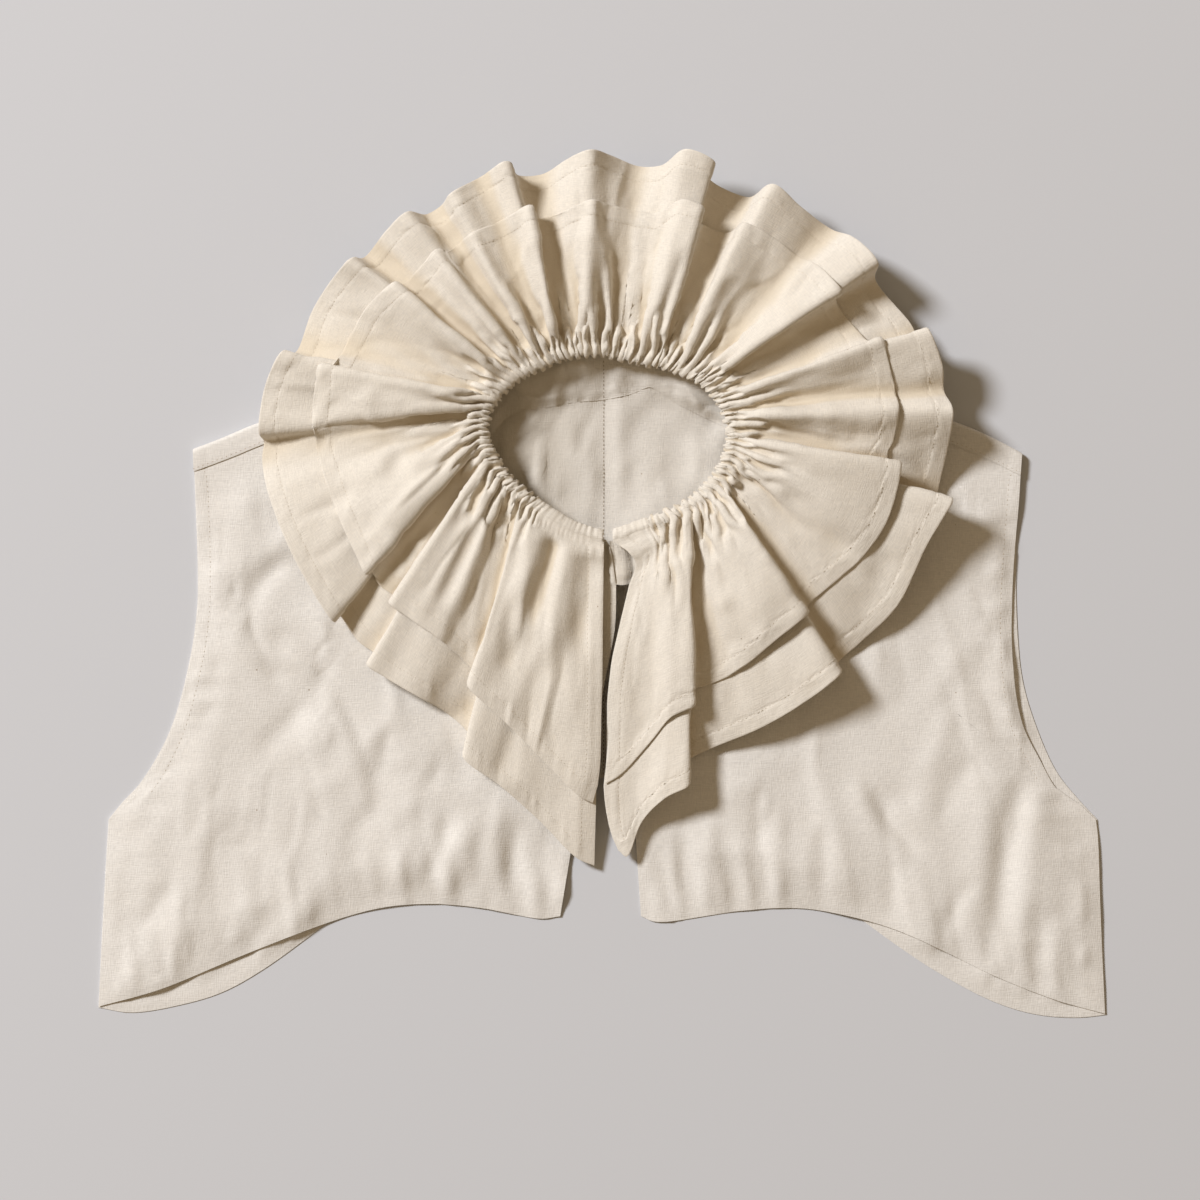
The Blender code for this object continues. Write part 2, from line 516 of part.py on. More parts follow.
def facing(back_grids):
    """Back neck facing: from the nape to its free edge, lying on the two half backs."""
    turns = np.linspace(FACING_TOP_TURNS[0], FACING_TOP_TURNS[1], 25)
    top = neck_edge(turns, FACING_START)[:, :2]
    bottom = curve(FACING_EDGE, 25)
    v = np.linspace(0.0, 1.0, FACING_ROWS + 1)[:, None, None]
    plan = bottom[None] * (1 - v) + top[None] * v
    height = back_height(plan) + LAYER_SPACE
    return laid_on(with_height(plan, height), back_grids, LAYER_SPACE + 0.2)


# ---------------------------------------------------------------- Blender objects
def material(name, colour, roughness):
    """Plain woven-cloth material."""
    made = bpy.data.materials.new(name)
    made.use_nodes = True
    shader = made.node_tree.nodes["Principled BSDF"]
    shader.inputs["Base Color"].default_value = (*colour, 1.0)
    shader.inputs["Roughness"].default_value = roughness
    shader.inputs["Metallic"].default_value = 0.0
    made.diffuse_color = (*colour, 1.0)
    return made


def shell(name, grid, wall, colour, roughness=0.9):
    """Closed thin body of a given wall round a grid of middle points."""
    normals = grid_normals(grid)
    if normals[..., 2].mean() < 0:
        grid = grid[:, ::-1]
        normals = grid_normals(grid)
    upper = grid + normals * wall / 2
    lower = grid - normals * wall / 2
    rows, columns = grid.shape[:2]
    points = np.vstack([upper.reshape(-1, 3), lower.reshape(-1, 3)]) * MM
    below = rows * columns

    def at(r, c):
        return r * columns + c

    faces = []
    for r in range(rows - 1):
        for c in range(columns - 1):
            a, b, d, e = at(r, c), at(r, c + 1), at(r + 1, c + 1), at(r + 1, c)
            faces.append((a, b, d))
            faces.append((a, d, e))
            faces.append((below + d, below + b, below + a))
            faces.append((below + e, below + d, below + a))
    border = [at(0, c) for c in range(columns)]
    border += [at(r, columns - 1) for r in range(1, rows)]
    border += [at(rows - 1, c) for c in range(columns - 2, -1, -1)]
    border += [at(r, 0) for r in range(rows - 2, 0, -1)]
    for a, b in zip(border, border[1:] + border[:1]):
        faces.append((b, a, below + a, below + b))
    mesh = bpy.data.meshes.new(name)
    mesh.from_pydata([tuple(p) for p in points], [], faces)
    mesh.validate()
    mesh.polygons.foreach_set("use_smooth", [True] * len(mesh.polygons))
    mesh.set_sharp_from_angle(angle=math.radians(50.0))
    mesh.materials.append(material(name, colour, roughness))
    made = bpy.data.objects.new(name, mesh)
    bpy.context.scene.collection.objects.link(made)
    return made


def build():
    """Make every piece, from the floor up."""
    for old in list(bpy.data.objects):
        bpy.data.objects.remove(old)
    muslin = (0.80, 0.75, 0.66)
    ruffle = (0.84, 0.78, 0.68)
    left_back = back_panel(LEFT_BACK, (180.0, SHOULDER_TURNS[0]))
    right_back = back_panel(RIGHT_BACK, (180.0, SHOULDER_TURNS[1]))
    back_hem = np.vstack([curve(LEFT_BACK["hem"], 40), curve(RIGHT_BACK["hem"], 40)])
    left_front = front_panel(LEFT_FRONT, LEFT_NECK, left_back, back_hem)
    right_front = front_panel(RIGHT_FRONT, RIGHT_NECK, right_back, back_hem)
    panels = [left_back, right_back, left_front, right_front]
    lower = laid_on(tier(5, LOWER_BELOW, LOWER_GROWTH, LEFT_END_BOW, 0.0), panels, LAYER_SPACE)
    upper = laid_on(tier(2, UPPER_BELOW, UPPER_GROWTH, 0.0, RIGHT_END_BOW), [lower], LAYER_SPACE)
    shell("back_left", left_back, PANEL_WALL, muslin)
    shell("back_right", right_back, PANEL_WALL, muslin)
    flat_backs = [back[:-1 - len(WRAP_ROWS)] for back in (left_back, right_back)]
    shell("back_neck_facing", facing(flat_backs), FACING_WALL, muslin)
    shell("front_left", left_front, PANEL_WALL, muslin)
    shell("front_right", right_front, PANEL_WALL, muslin)
    shell("ruffle_lower", lower, TIER_WALL, ruffle)
    shell("ruffle_upper", upper, TIER_WALL, ruffle)
    shell("neck_casing", laid_on(casing(), [upper], LAYER_SPACE), CASING_WALL, ruffle)


build()
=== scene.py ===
"""Ruff collar on an open, sleeveless muslin bodice, laid out on its back.

Lengths are millimetres until a mesh is made. +X is the reader's right, +Y the nape, +Z up from the floor.
A turn goes clockwise about the neck's centre, in degrees from the centre front; "out" is a distance
outwards from the neck edge. A piece of cloth is four grids: points on its middle, thickness, places in
the flat cloth and distance from its nearest turned edge. shell() closes it into one thin solid.
"""

import math

import bpy
import numpy as np
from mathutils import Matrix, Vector


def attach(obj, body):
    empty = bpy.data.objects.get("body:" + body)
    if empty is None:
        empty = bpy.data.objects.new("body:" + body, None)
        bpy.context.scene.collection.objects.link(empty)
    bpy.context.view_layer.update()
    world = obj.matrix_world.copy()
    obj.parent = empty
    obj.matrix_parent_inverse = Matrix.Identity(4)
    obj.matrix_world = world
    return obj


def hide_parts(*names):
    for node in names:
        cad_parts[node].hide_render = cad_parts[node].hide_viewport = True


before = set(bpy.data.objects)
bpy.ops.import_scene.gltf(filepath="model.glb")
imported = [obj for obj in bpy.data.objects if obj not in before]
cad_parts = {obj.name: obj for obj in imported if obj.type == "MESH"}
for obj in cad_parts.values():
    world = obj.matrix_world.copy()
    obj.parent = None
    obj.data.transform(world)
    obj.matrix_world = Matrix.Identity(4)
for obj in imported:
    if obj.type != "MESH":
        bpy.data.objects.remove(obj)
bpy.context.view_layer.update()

MM = 0.001
FAR = 1e9                 # further than any point of the garment
CLOTH = 0.5               # thickness of one layer of the muslin
HEM = 0.75                # thickness of a ruffle's turned hem
PANEL_HEM_MORE = 0.15     # what a turned edge adds to a panel's thickness
GAP = 0.12                # air left between two pieces that touch
RIM = 0.2                 # width of the thinned rim of a ruffle, and the share of thickness left there
RIM_SHARE = 0.55
PANEL_RIM = 0.15          # the same for the panels
PANEL_RIM_SHARE = 0.6
RUFFLE_HEM = 8.0          # depth of the ruffles' hems
BODICE_HEM = 6.0          # depth of the bodice's turned edges

NECK_CENTRE = (3.1, 74.1)
NAPE = 180.0              # turn at the centre back
SHOULDER_TURNS = (135.0, 228.0)
TIER_START = 3.0          # out, where the lower ruffle and the panels start
FACING_START = 1.2        # out, where the facing starts, and the turns of its ends
FACING_TURNS = (106.0, 256.0)
UPPER_START = 4.4         # out, where the upper ruffle starts
UPPER_BELOW = 0.2         # below the neck edge's height: where each piece starts
LOWER_BELOW = 4.7
FRONT_BELOW = 6.9
BACK_BELOW = 11.6
FRONT_LIFT = 4.4          # height of a front's middle over the back, and past the back's hem
FRONT_FLOOR_LIFT = 1.5
SIDE_REACH = 26.0         # over how far a front rises from its side seam, and sinks past the back's hem
DROOP_REACH = 45.0
FRONT_NECK_REACH = 62.0   # over how far the fronts and the backs climb to the neck
BACK_NECK_REACH = 31.0
SHOULDER_TURNED = 9.4     # how far the backs run over onto the fronts
TUCKED_ROWS = 16          # rows of a front that are led under the back's seam edge
HUMP = 4.5                # rise of a ruffle between the neck and its hem
UPPER_GROWTH = 0.4        # power of the way to the hem with which the flutes open
LOWER_GROWTH = 2.0
NECK_LEVEL = 0.18         # share of the way over which a ruffle leaves the neck level
TAB_HEIGHT = 14.8

# Neck edge: turn, radius, height.
NECK = (
    (0, 47.3, 18.5), (20, 46.5, 19.0), (40, 46.7, 19.5), (60, 51.2, 20.0), (80, 58.9, 20.5),
    (100, 64.8, 21.0), (120, 60.3, 21.0), (140, 53.1, 21.0), (160, 49.4, 21.0), (180, 46.4, 21.0),
    (200, 45.9, 21.0), (220, 51.6, 21.5), (240, 59.3, 22.0), (260, 63.6, 22.5), (280, 60.6, 22.5),
    (300, 54.8, 22.0), (320, 48.3, 21.0), (340, 45.3, 19.5), (360, 47.3, 18.5),
)
# Lines from the neck to the hems, along crests, slopes and valleys of the flutes:
# turn, upper hem x, y, z, lower hem x, y, z.
UPPER_HEM, LOWER_HEM = 1, 4
FOLDS = (
    (3.0, -3, -113, 12, -4, -146, 5), (7.5, -11, -109, 14, -13, -142, 6), (18.2, -28, -93, 15, -32, -123, 7),
    (36.2, -50, -71, 17, -53, -104, 12), (53.6, -69, -52, 19, -72, -89, 14),
    (58.5, -65, -47, 10, -68, -80, 6.5), (64.9, -74, -37, 9, -80, -67, 6.5),
    (69.3, -84, -28, 21, -95, -58, 15), (76.5, -101, -16, 21, -112, -48, 15),
    (81.5, -110, -9, 20, -122, -41, 15), (83.6, -107, -6, 10, -118, -36, 6.5),
    (86.4, -114, -1, 9, -127, -29, 6.5), (88.2, -121, 9, 10, -137, -15, 6.5),
    (89.5, -122, 6, 21, -139, -19, 16), (94.2, -134, 30, 23, -159, 13, 19),
    (98.3, -144, 57, 17, -173, 47, 13), (100.8, -148, 71, 7.9, -177, 66, 5.5),
    (102.9, -149, 80, 9.4, -176, 75, 5.9), (104.4, -150, 84, 19.5, -178, 80, 16),
    (107.1, -149, 99, 22, -175, 102, 18), (110.3, -146, 113, 24, -166, 121, 22),
    (112.4, -139, 114, 10.4, -159, 122, 6.4), (116.4, -131, 129, 9.4, -151, 143, 5.9),
    (119.4, -122, 144, 18.5, -140, 159, 16), (122.7, -108, 156, 27, -130, 169, 25),
    (126.1, -103, 156, 14.4, -123, 171, 10.4), (129.3, -94, 165, 20, -112, 184, 17),
    (132.5, -86, 173, 26, -101, 193, 24), (136.2, -79, 173, 14.4, -91, 193, 11.4),
    (139.2, -74, 177, 15.4, -84, 197, 12.4), (140.9, -68, 182, 26, -78, 203, 24),
    (146.1, -54, 188, 18, -63, 212, 16), (151.9, -37, 196, 31, -49, 219, 30),
    (154.6, -35, 190, 14.4, -43, 213, 12.4), (159.9, -24, 192, 11.4, -31, 214, 9.4),
    (164.0, -14, 196, 22, -18, 221, 20), (169.4, -5, 199, 30, -6, 225, 29), (177.4, 4, 197, 22, 4, 223, 20),
    (187.0, 18, 194, 12.4, 19, 218, 10.4), (196.8, 29, 193, 18, 31, 218, 16),
    (204.3, 42, 199, 31, 44, 225, 30), (209.9, 51, 195, 31, 58, 219, 30),
    (212.4, 50, 188, 14.4, 56, 211, 12.4), (217.7, 65, 183, 11.4, 76, 202, 9.4),
    (222.2, 74, 187, 27, 89, 207, 27), (226.4, 87, 181, 24, 103, 196, 22),
    (230.3, 101, 171, 16.4, 119, 185, 14.4), (234.2, 112, 165, 26, 130, 180, 25),
    (237.8, 123, 152, 34, 142, 167, 33), (240.2, 121, 147, 18.4, 142, 158, 16.4),
    (244.8, 134, 130, 16.4, 160, 136, 16.4), (246.9, 140, 124, 18.4, 164, 129, 17.4),
    (248.6, 144, 127, 32, 168, 133, 32), (251.4, 149, 111, 26, 176, 113, 27),
    (254.6, 151, 103, 20.4, 177, 101, 21.4), (258.2, 153, 91, 33, 181, 90, 32),
    (261.5, 151, 76, 23, 179, 70, 18), (264.6, 148, 68, 17, 175, 51, 10), (266.8, 148, 60, 16, 174, 43, 9),
    (268.6, 154, 63, 32, 181, 44, 30), (273.4, 148, 35, 30, 168, 21, 25), (277.9, 135, 15, 23, 153, -11, 16),
    (282.4, 122, 3, 15, 135, -29, 10), (287.6, 107, -10, 14, 123, -40, 9),
    (291.2, 106, -15, 30, 123, -46, 26), (296.3, 90, -28, 28, 104, -61, 23),
    (301.2, 72, -43, 22, 82, -74, 17), (305.4, 54, -52, 13, 54, -86, 9.5), (308.6, 44, -54, 12, 42, -93, 9.5),
    (311.0, 47, -62, 25, 45, -103, 22), (320.0, 36, -68, 24, 33, -110, 20),
    (331.6, 26, -80, 17, 20, -123, 12), (348.0, 10, -98, 13, 11, -141, 8), (357.0, 2, -103, 10, 6, -138, 6.5),
)
# Edges of the panels in plan, from hem to shoulder or from side to centre.
LEFT_FRONT = {
    "side": ((-262.4, -219.6), (-260.0, -174.0), (-257.4, -130.0), (-256.9, -122.0)),
    "armhole": (
        (-256.9, -122.0), (-248.6, -114.0), (-239.2, -103.7), (-224.6, -76.7), (-214.8, -41.3),
        (-210.6, -12.7), (-210.1, 8.1), (-211.6, 49.7), (-212.4, 60.0),
    ),
    "hem": (
        (-262.4, -219.6), (-229.8, -210.3), (-188.2, -193.2), (-146.6, -177.1), (-115.4, -168.2),
        (-89.4, -166.1), (-63.4, -168.2), (-32.0, -173.8), (-21.8, -172.5),
    ),
    "centre": (
        (-21.8, -172.5), (-16.1, -137.5), (-8.8, -90.7), (-2.6, -33.5), (-1.2, 13.0), (0.9, 23.7),
    ),
}
RIGHT_FRONT = {
    "side": ((262.4, -223.4), (260.0, -170.0), (258.6, -130.0), (257.6, -122.0)),
    "armhole": (
        (257.6, -122.0), (248.6, -113.7), (238.2, -107.4), (227.8, -89.7), (218.9, -71.5), (214.2, -41.3),
        (214.2, 1.5), (217.4, 44.5), (217.4, 51.2),
    ),
    "hem": (
        (262.4, -223.4), (238.0, -216.6), (207.0, -204.6), (155.0, -180.2), (118.6, -170.3), (97.8, -168.2),
        (71.8, -169.8), (28.0, -175.4), (20.3, -172.5),
    ),
    "centre": (
        (20.3, -172.5), (17.6, -128.2), (16.5, -60.0), (18.0, -24.0), (18.3, -10.0), (16.0, -0.5), (8.4, 5.0),
        (4.2, 12.0), (4.0, 23.7),
    ),
}
LEFT_BACK = {
    "side": ((-262.8, -220.2), (-260.5, -174.0), (-258.0, -130.0), (-257.5, -122.0)),
    "armhole": (
        (-257.5, -122.0), (-250.2, -113.0), (-240.6, -102.5), (-225.6, -76.0), (-215.6, -41.0),
        (-211.4, -12.5), (-211.0, 8.1), (-212.4, 49.7), (-213.2, 68.9),
    ),
    "hem": (
        (-262.8, -220.2), (-245.4, -222.8), (-219.4, -218.7), (-198.6, -212.4), (-177.8, -201.0),
        (-141.4, -174.5), (-105.0, -146.9), (-53.0, -114.0), (1.5, -100.0),
    ),
    "shoulder": ((-213.2, 68.9), (-196.0, 75.7), (-176.8, 83.5), (-105.0, 104.0), (-38.0, 114.5)),
}
RIGHT_BACK = {
    "side": ((262.8, -224.0), (260.6, -170.0), (259.2, -130.0), (258.4, -122.0)),
    "armhole": (
        (258.4, -122.0), (248.6, -111.5), (237.1, -97.0), (226.2, -72.5), (219.4, -49.1), (216.6, -20.0),
        (216.2, 23.7), (217.6, 50.0), (218.8, 66.8),
    ),
    "hem": (
        (262.8, -224.0), (248.6, -225.4), (227.8, -224.0), (206.5, -218.0), (176.3, -202.5), (139.9, -177.7),
        (105.0, -150.0), (53.0, -116.0), (1.6, -100.0),
    ),
    "shoulder": ((218.8, 66.8), (206.5, 73.4), (180.0, 84.5), (108.0, 103.0), (44.0, 112.5)),
}
FACING_EDGE = (
    (-66.0, 84.0), (-53.0, 91.2), (-32.2, 92.3), (-15.6, 95.4), (1.6, 97.0), (14.6, 99.6), (22.4, 102.7),
    (25.0, 103.2), (38.0, 95.4), (51.0, 88.7), (65.5, 81.9), (72.0, 78.0),
)
# How far an end edge stands to the side of its straight line: share of the way to the hem, distance.
UPPER_LEFT_SWING = (
    (0.0, 0.6), (0.5, 1.2), (0.84, 1.5), (0.93, 0.6), (1.0, -1.8),
)
UPPER_RIGHT_SWING = (
    (0.0, 0.0), (0.035, 7.0), (0.068, 11.0), (0.096, 12.3), (0.133, 11.0), (0.174, 9.0), (0.33, 4.9),
    (0.49, 1.3), (0.66, -0.6), (1.0, 0.0),
)
LOWER_LEFT_SWING = (
    (0.0, 1.5), (0.02, 3.6), (0.06, 5.2), (0.14, 7.4), (0.22, 8.0), (0.29, 7.2), (0.38, 4.5), (0.48, 1.6),
    (0.58, 0.0), (1.0, 0.0),
)
LOWER_RIGHT_SWING = (
    (0.0, 3.0), (0.04, 10.0), (0.075, 14.5), (0.12, 16.0), (0.18, 14.5), (0.28, 9.0), (0.42, 3.0),
    (0.6, -1.0), (0.72, -4.0), (0.8, -5.2), (0.9, -3.6), (0.96, -0.6), (1.0, 2.6),
)
# Soft creases: height (below 0 for a trough), half width, line.
PANEL_CREASES = (
    (-1.9, 6, ((-160, 18), (-178, 2), (-191, -21))), (1.3, 8, ((-150, 30), (-172, 12))),
    (-1.3, 6, ((-143, -31), (-145, -45), (-146, -60))), (-1.0, 7, ((-167, -20), (-170, -52))),
    (-1.1, 6, ((-152, -58), (-166, -74), (-180, -90))), (1.0, 8, ((-142, -66), (-160, -92))),
    (-1.3, 5, ((-109, -72), (-113, -88), (-118, -104))), (-1.3, 5, ((-83, -84), (-88, -96), (-93, -110))),
    (-1.4, 6, ((-116, -112), (-127, -127), (-135, -148))), (-1.8, 5, ((-80, -119), (-84, -136), (-90, -155))),
    (1.3, 6, ((-69, -118), (-74, -140), (-78, -162))), (-1.3, 6, ((-225, -155), (-232, -168), (-239, -180))),
    (0.9, 9, ((-205, -110), (-214, -150), (-222, -190))), (-1.0, 10, ((-185, -118), (-190, -140))),
    (1.0, 5, ((-50, -110), (-56, -135), (-60, -164))), (-1.0, 4, ((-42, -120), (-47, -145), (-50, -168))),
    (0.9, 5, ((-100, -128), (-106, -148), (-110, -164))), (-1.7, 4, ((137, -97), (149, -121), (168, -142))),
    (1.3, 6, ((130, -99), (142, -125), (160, -147))),
    (-2.6, 7, ((221, -97), (213, -127), (208, -160), (207, -190))),
    (1.5, 8, ((230, -96), (224, -130), (221, -186))), (1.2, 8, ((203, -100), (198, -135), (194, -170))),
    (-1.3, 4, ((84, -101), (82, -120), (82, -142))), (1.0, 4, ((93, -112), (92, -140), (91, -164))),
    (-1.1, 4, ((114, -126), (116, -140), (117, -158))), (-1.2, 7, ((198, -88), (183, -104), (175, -124))),
    (-1.2, 5, ((195, -150), (187, -164), (177, -182))), (0.9, 6, ((182, -60), (176, -82), (168, -100))),
    (-0.9, 5, ((224, -165), (228, -180), (229, -200))), (1.0, 5, ((57, -118), (55, -140), (54, -168))),
    (-0.8, 4, ((44, -128), (42, -148), (41, -170))), (0.8, 7, ((190, -30), (178, -48), (170, -66))),
)
UPPER_DENTS = (
    (3.4, 7, ((-29, 41), (-36, 18), (-41, -4), (-43, -30))),
    (-3.4, 4.5, ((-22, 36), (-26, 16), (-32, -2), (-37, -24))),
    (2.4, 7, ((-14, 34), (-19, 10), (-24, -16), (-29, -42))), (-1.5, 7, ((-47, -26), (-36, -42), (-24, -50))),
    (-2.0, 6, ((-7, 20), (-9, -10), (-12, -40))), (-2.6, 5, ((-46, -4), (-48, -26), (-50, -48))),
    (-2.6, 4.5, ((-64, 31), (-74, 10), (-86, -14))), (1.8, 5, ((-55, 30), (-62, 4), (-72, -24))),
    (-3.0, 6, ((-72, 76), (-92, 72), (-105, 66), (-108, 52))), (2.2, 8, ((-80, 60), (-98, 46), (-118, 34))),
    (-1.6, 6, ((-126, 52), (-142, 42), (-156, 33))), (2.2, 7, ((-62, 98), (-92, 96), (-124, 97), (-150, 99))),
    (-2.6, 5, ((-60, 88), (-90, 84), (-120, 82), (-148, 80))),
    (-2.0, 5, ((-56, 104), (-84, 115), (-106, 123), (-126, 130))),
    (-2.2, 4, ((-24.4, 125), (-33, 138), (-42, 152), (-53, 187))),
    (1.6, 4, ((-8.8, 132), (-9.4, 165), (-10, 190))), (1.8, 4, ((4.2, 130), (4.2, 155), (-2.6, 195))),
    (-2.4, 4.5, ((12, 130), (13, 150), (15, 178))), (2.0, 4, ((15.6, 137), (22.4, 165), (31.7, 205))),
    (-2.6, 4, ((-15, 128), (-17, 144), (-19, 166))), (-2.6, 4.5, ((28, 128), (36, 150), (46, 176))),
    (1.8, 4, ((38, 130), (48, 148), (69, 184))), (-1.8, 6, ((66, 47), (76, 46), (86, 43))),
    (-2.0, 5, ((87, 94), (120, 92), (150, 89))), (-2.2, 7, ((80, 42), (94, 26), (112, -6))),
    (1.6, 5, ((72, 36), (82, 24), (92, 12))), (-1.8, 5, ((91, 52), (110, 34), (130, 15))),
    (2.0, 5, ((69, 94), (86, 89), (103, 83), (148, 66))), (-1.2, 5, ((62, -10), (72, -17), (84, -24))),
    (1.4, 6, ((46, 38), (54, 10), (62, -22))), (-1.8, 4, ((33, 34), (36, 12), (37, -14))),
    (-1.6, 5, ((54, 118), (78, 138), (100, 156))),
)
LOWER_DENTS = (
    (-2.0, 6, ((-42, -62), (-48, -84), (-51, -104))), (-1.6, 6, ((-66, -58), (-74, -68), (-80, -74))),
    (-1.4, 6, ((148, 20), (142, 2), (136, -14))), (1.2, 6, ((88, -30), (98, -44), (110, -54))),
)


# ---------------------------------------------------------------- curves and noise
def spline(ring, knots, t):
    """Points at t on a Catmull-Rom curve whose knots may be unevenly spaced."""
    t = np.asarray(t, float)
    i = np.clip(np.searchsorted(knots, t, side="right") - 1, 1, len(ring) - 3)
    p0, p1, p2, p3 = (ring[i + k] for k in (-1, 0, 1, 2))
    t0, t1, t2, t3 = (knots[i + k][:, None] for k in (-1, 0, 1, 2))
    t = t[:, None]
    a1 = p0 * (t1 - t) / (t1 - t0) + p1 * (t - t0) / (t1 - t0)
    a2 = p1 * (t2 - t) / (t2 - t1) + p2 * (t - t1) / (t2 - t1)
    a3 = p2 * (t3 - t) / (t3 - t2) + p3 * (t - t2) / (t3 - t2)
    b1 = a1 * (t2 - t) / (t2 - t0) + a2 * (t - t0) / (t2 - t0)
    b2 = a2 * (t3 - t) / (t3 - t1) + a3 * (t - t1) / (t3 - t1)
    return b1 * (t2 - t) / (t2 - t1) + b2 * (t - t1) / (t2 - t1)


def arc_length(points, root=False):
    """Length along a row of points, from 0, or the sum of the roots of its steps."""
    steps = np.linalg.norm(np.diff(points, axis=0), axis=1)
    return np.concatenate([[0.0], np.cumsum(np.sqrt(steps) if root else steps)])


def curve(points, count):
    """Even samples of a smooth curve through points; it reaches both ends."""
    points = np.array(points, float)
    ring = np.vstack([2 * points[0] - points[1], points, 2 * points[-1] - points[-2]])
    at = arc_length(points, root=True)
    knots = np.concatenate([[2 * at[0] - at[1]], at, [2 * at[-1] - at[-2]]])
    dense = spline(ring, knots, np.linspace(at[0], at[-1], 60 * len(points)))
    length = arc_length(dense)
    want = np.linspace(0.0, length[-1], count)
    return np.stack([np.interp(want, length, dense[:, k]) for k in range(dense.shape[1])], axis=1)


def smooth_step(x):
    """0 below 0, 1 above 1, smooth between."""
    x = np.clip(x, 0.0, 1.0)
    return x * x * (3.0 - 2.0 * x)


def rising(x, start, over):
    """0 up to a start, then smoothly up to 1 over some distance."""
    return smooth_step((x - start) / over)


def falling(x, end, over):
    """1, then smoothly down to 0 at an end, over some distance."""
    return smooth_step((end - x) / over)


def bell(x, centre, width):
    """1 at a centre, next to nothing two widths away."""
    return np.exp(-((x - centre) / width) ** 2)


def table_read(table, x):
    """Straight reading of a two-column table."""
    rows = np.array(table, float)
    return np.interp(x, rows[:, 0], rows[:, 1])


def smooth_table(at, values, x):
    """Catmull-Rom reading of an evenly spaced table."""
    place = (np.asarray(x, float) - at[0]) / (at[1] - at[0])
    i = np.clip(np.floor(place).astype(int), 1, len(at) - 3)
    f = place - i
    p0, p1, p2, p3 = (values[i + k] for k in (-1, 0, 1, 2))
    return p1 + 0.5 * f * (p2 - p0 + f * (2 * p0 - 5 * p1 + 4 * p2 - p3 + f * (3 * (p1 - p2) + p3 - p0)))


def neck_edge(turn, out=0.0):
    """Point at a turn and a distance outwards, at the height of the neck edge."""
    rows = np.array(NECK, float)
    wrapped = np.vstack([rows[-3:-1] - (360, 0, 0), rows, rows[1:3] + (360, 0, 0)])
    radius = smooth_table(wrapped[:, 0], wrapped[:, 1], turn) + out
    height = np.interp(turn, wrapped[:, 0], wrapped[:, 2])
    angle = np.radians(270.0 - np.asarray(turn, float))
    x = NECK_CENTRE[0] + radius * np.cos(angle)
    y = NECK_CENTRE[1] + radius * np.sin(angle)
    return np.stack([x, y, height + 0.0 * x], axis=-1)


def turn_of(points):
    """Turn of each point about the neck's centre."""
    x, y = points[..., 0] - NECK_CENTRE[0], points[..., 1] - NECK_CENTRE[1]
    return (270.0 - np.degrees(np.arctan2(y, x))) % 360.0


def from_centre(points):
    """Distance in plan of each point from the neck's centre."""
    return np.linalg.norm(points[..., :2] - np.array(NECK_CENTRE), axis=-1)


def noise(x, y, size, seed):
    """Smooth noise from -1 to 1 with bumps of about a given size."""
    rows, columns = 97, 89
    table = np.random.default_rng(seed).uniform(-1.0, 1.0, (rows, columns))
    x, y = x / size + 500.0, y / size + 500.0
    i, j = np.floor(x).astype(int), np.floor(y).astype(int)
    f, g = x - i, y - j
    f = f * f * f * (f * (6 * f - 15) + 10)
    g = g * g * g * (g * (6 * g - 15) + 10)
    a = table[i % rows, j % columns] * (1 - f) + table[(i + 1) % rows, j % columns] * f
    b = table[i % rows, (j + 1) % columns] * (1 - f) + table[(i + 1) % rows, (j + 1) % columns] * f
    return a * (1 - g) + b * g


def wrinkled(x, y, size, seed):
    """Height of soft creases that cross a flat cloth: narrow ridges round broad flat places."""
    bend = 0.35 * size
    u = x + bend * noise(x, y, 1.7 * size, seed + 7)
    v = y + bend * noise(x, y, 1.7 * size, seed + 8)
    ridge = (1.1 - np.sqrt(noise(u, v, size, seed) ** 2 + 0.01)) ** 5
    hollow = (1.1 - np.sqrt(noise(u, v, 0.8 * size, seed + 3) ** 2 + 0.01)) ** 5
    here = smooth_step(0.5 + 0.9 * noise(x, y, 2.2 * size, seed + 5))
    return (ridge - 0.8 * hollow) * here


def rumpled(x, y, seed, terms, start=0.0):
    """Sum of soft shapes on flat cloth: amount, kind, size, addition to the seed, squash of y, lean of x."""
    height = start
    for amount, kind, size, step, squash, lean in terms:
        height = height + amount * kind(x + lean * y, squash * y, size, seed + step)
    return height


def nearest_on(points, path):
    """Distance in plan of each point from a path of straight pieces, and where along it, from 0 to 1."""
    path = path[:, :2]
    at = arc_length(path)
    best, share = np.full(points.shape[:-1], FAR), np.zeros(points.shape[:-1])
    for k, (start, end) in enumerate(zip(path[:-1], path[1:])):
        way, rel = end - start, points[..., :2] - start
        along = np.clip((rel @ way) / (way @ way), 0.0, 1.0)
        away = np.linalg.norm(rel - along[..., None] * way, axis=-1)
        share = np.where(away < best, (at[k] + along * (at[k + 1] - at[k])) / at[-1], share)
        best = np.minimum(best, away)
    return best, share


def distance_to(points, path):
    """Distance in plan of each point from a path of straight pieces."""
    return nearest_on(points, path)[0]


def creased(points, table):
    """Height that a table of soft creases gives at each point."""
    height = np.zeros(points.shape[:-1])
    for rise, width, path in table:
        away, share = nearest_on(points, curve(path, 2 * len(path) + 1))
        fade = smooth_step(0.15 + share / 0.3) * smooth_step(0.15 + (1.0 - share) / 0.3)
        height += rise * fade * bell(away, 0.0, width)
    return height


def normals_of(grid):
    """Unit normals of a grid in the sense of its own rows and columns."""
    normals = np.cross(np.gradient(grid, axis=1), np.gradient(grid, axis=0))
    return normals / np.maximum(np.linalg.norm(normals, axis=-1, keepdims=True), 1e-9)


def upward(grid):
    """Unit normals of a grid that point upwards on the whole."""
    normals = normals_of(grid)
    return normals * np.sign(np.median(normals[..., 2]))


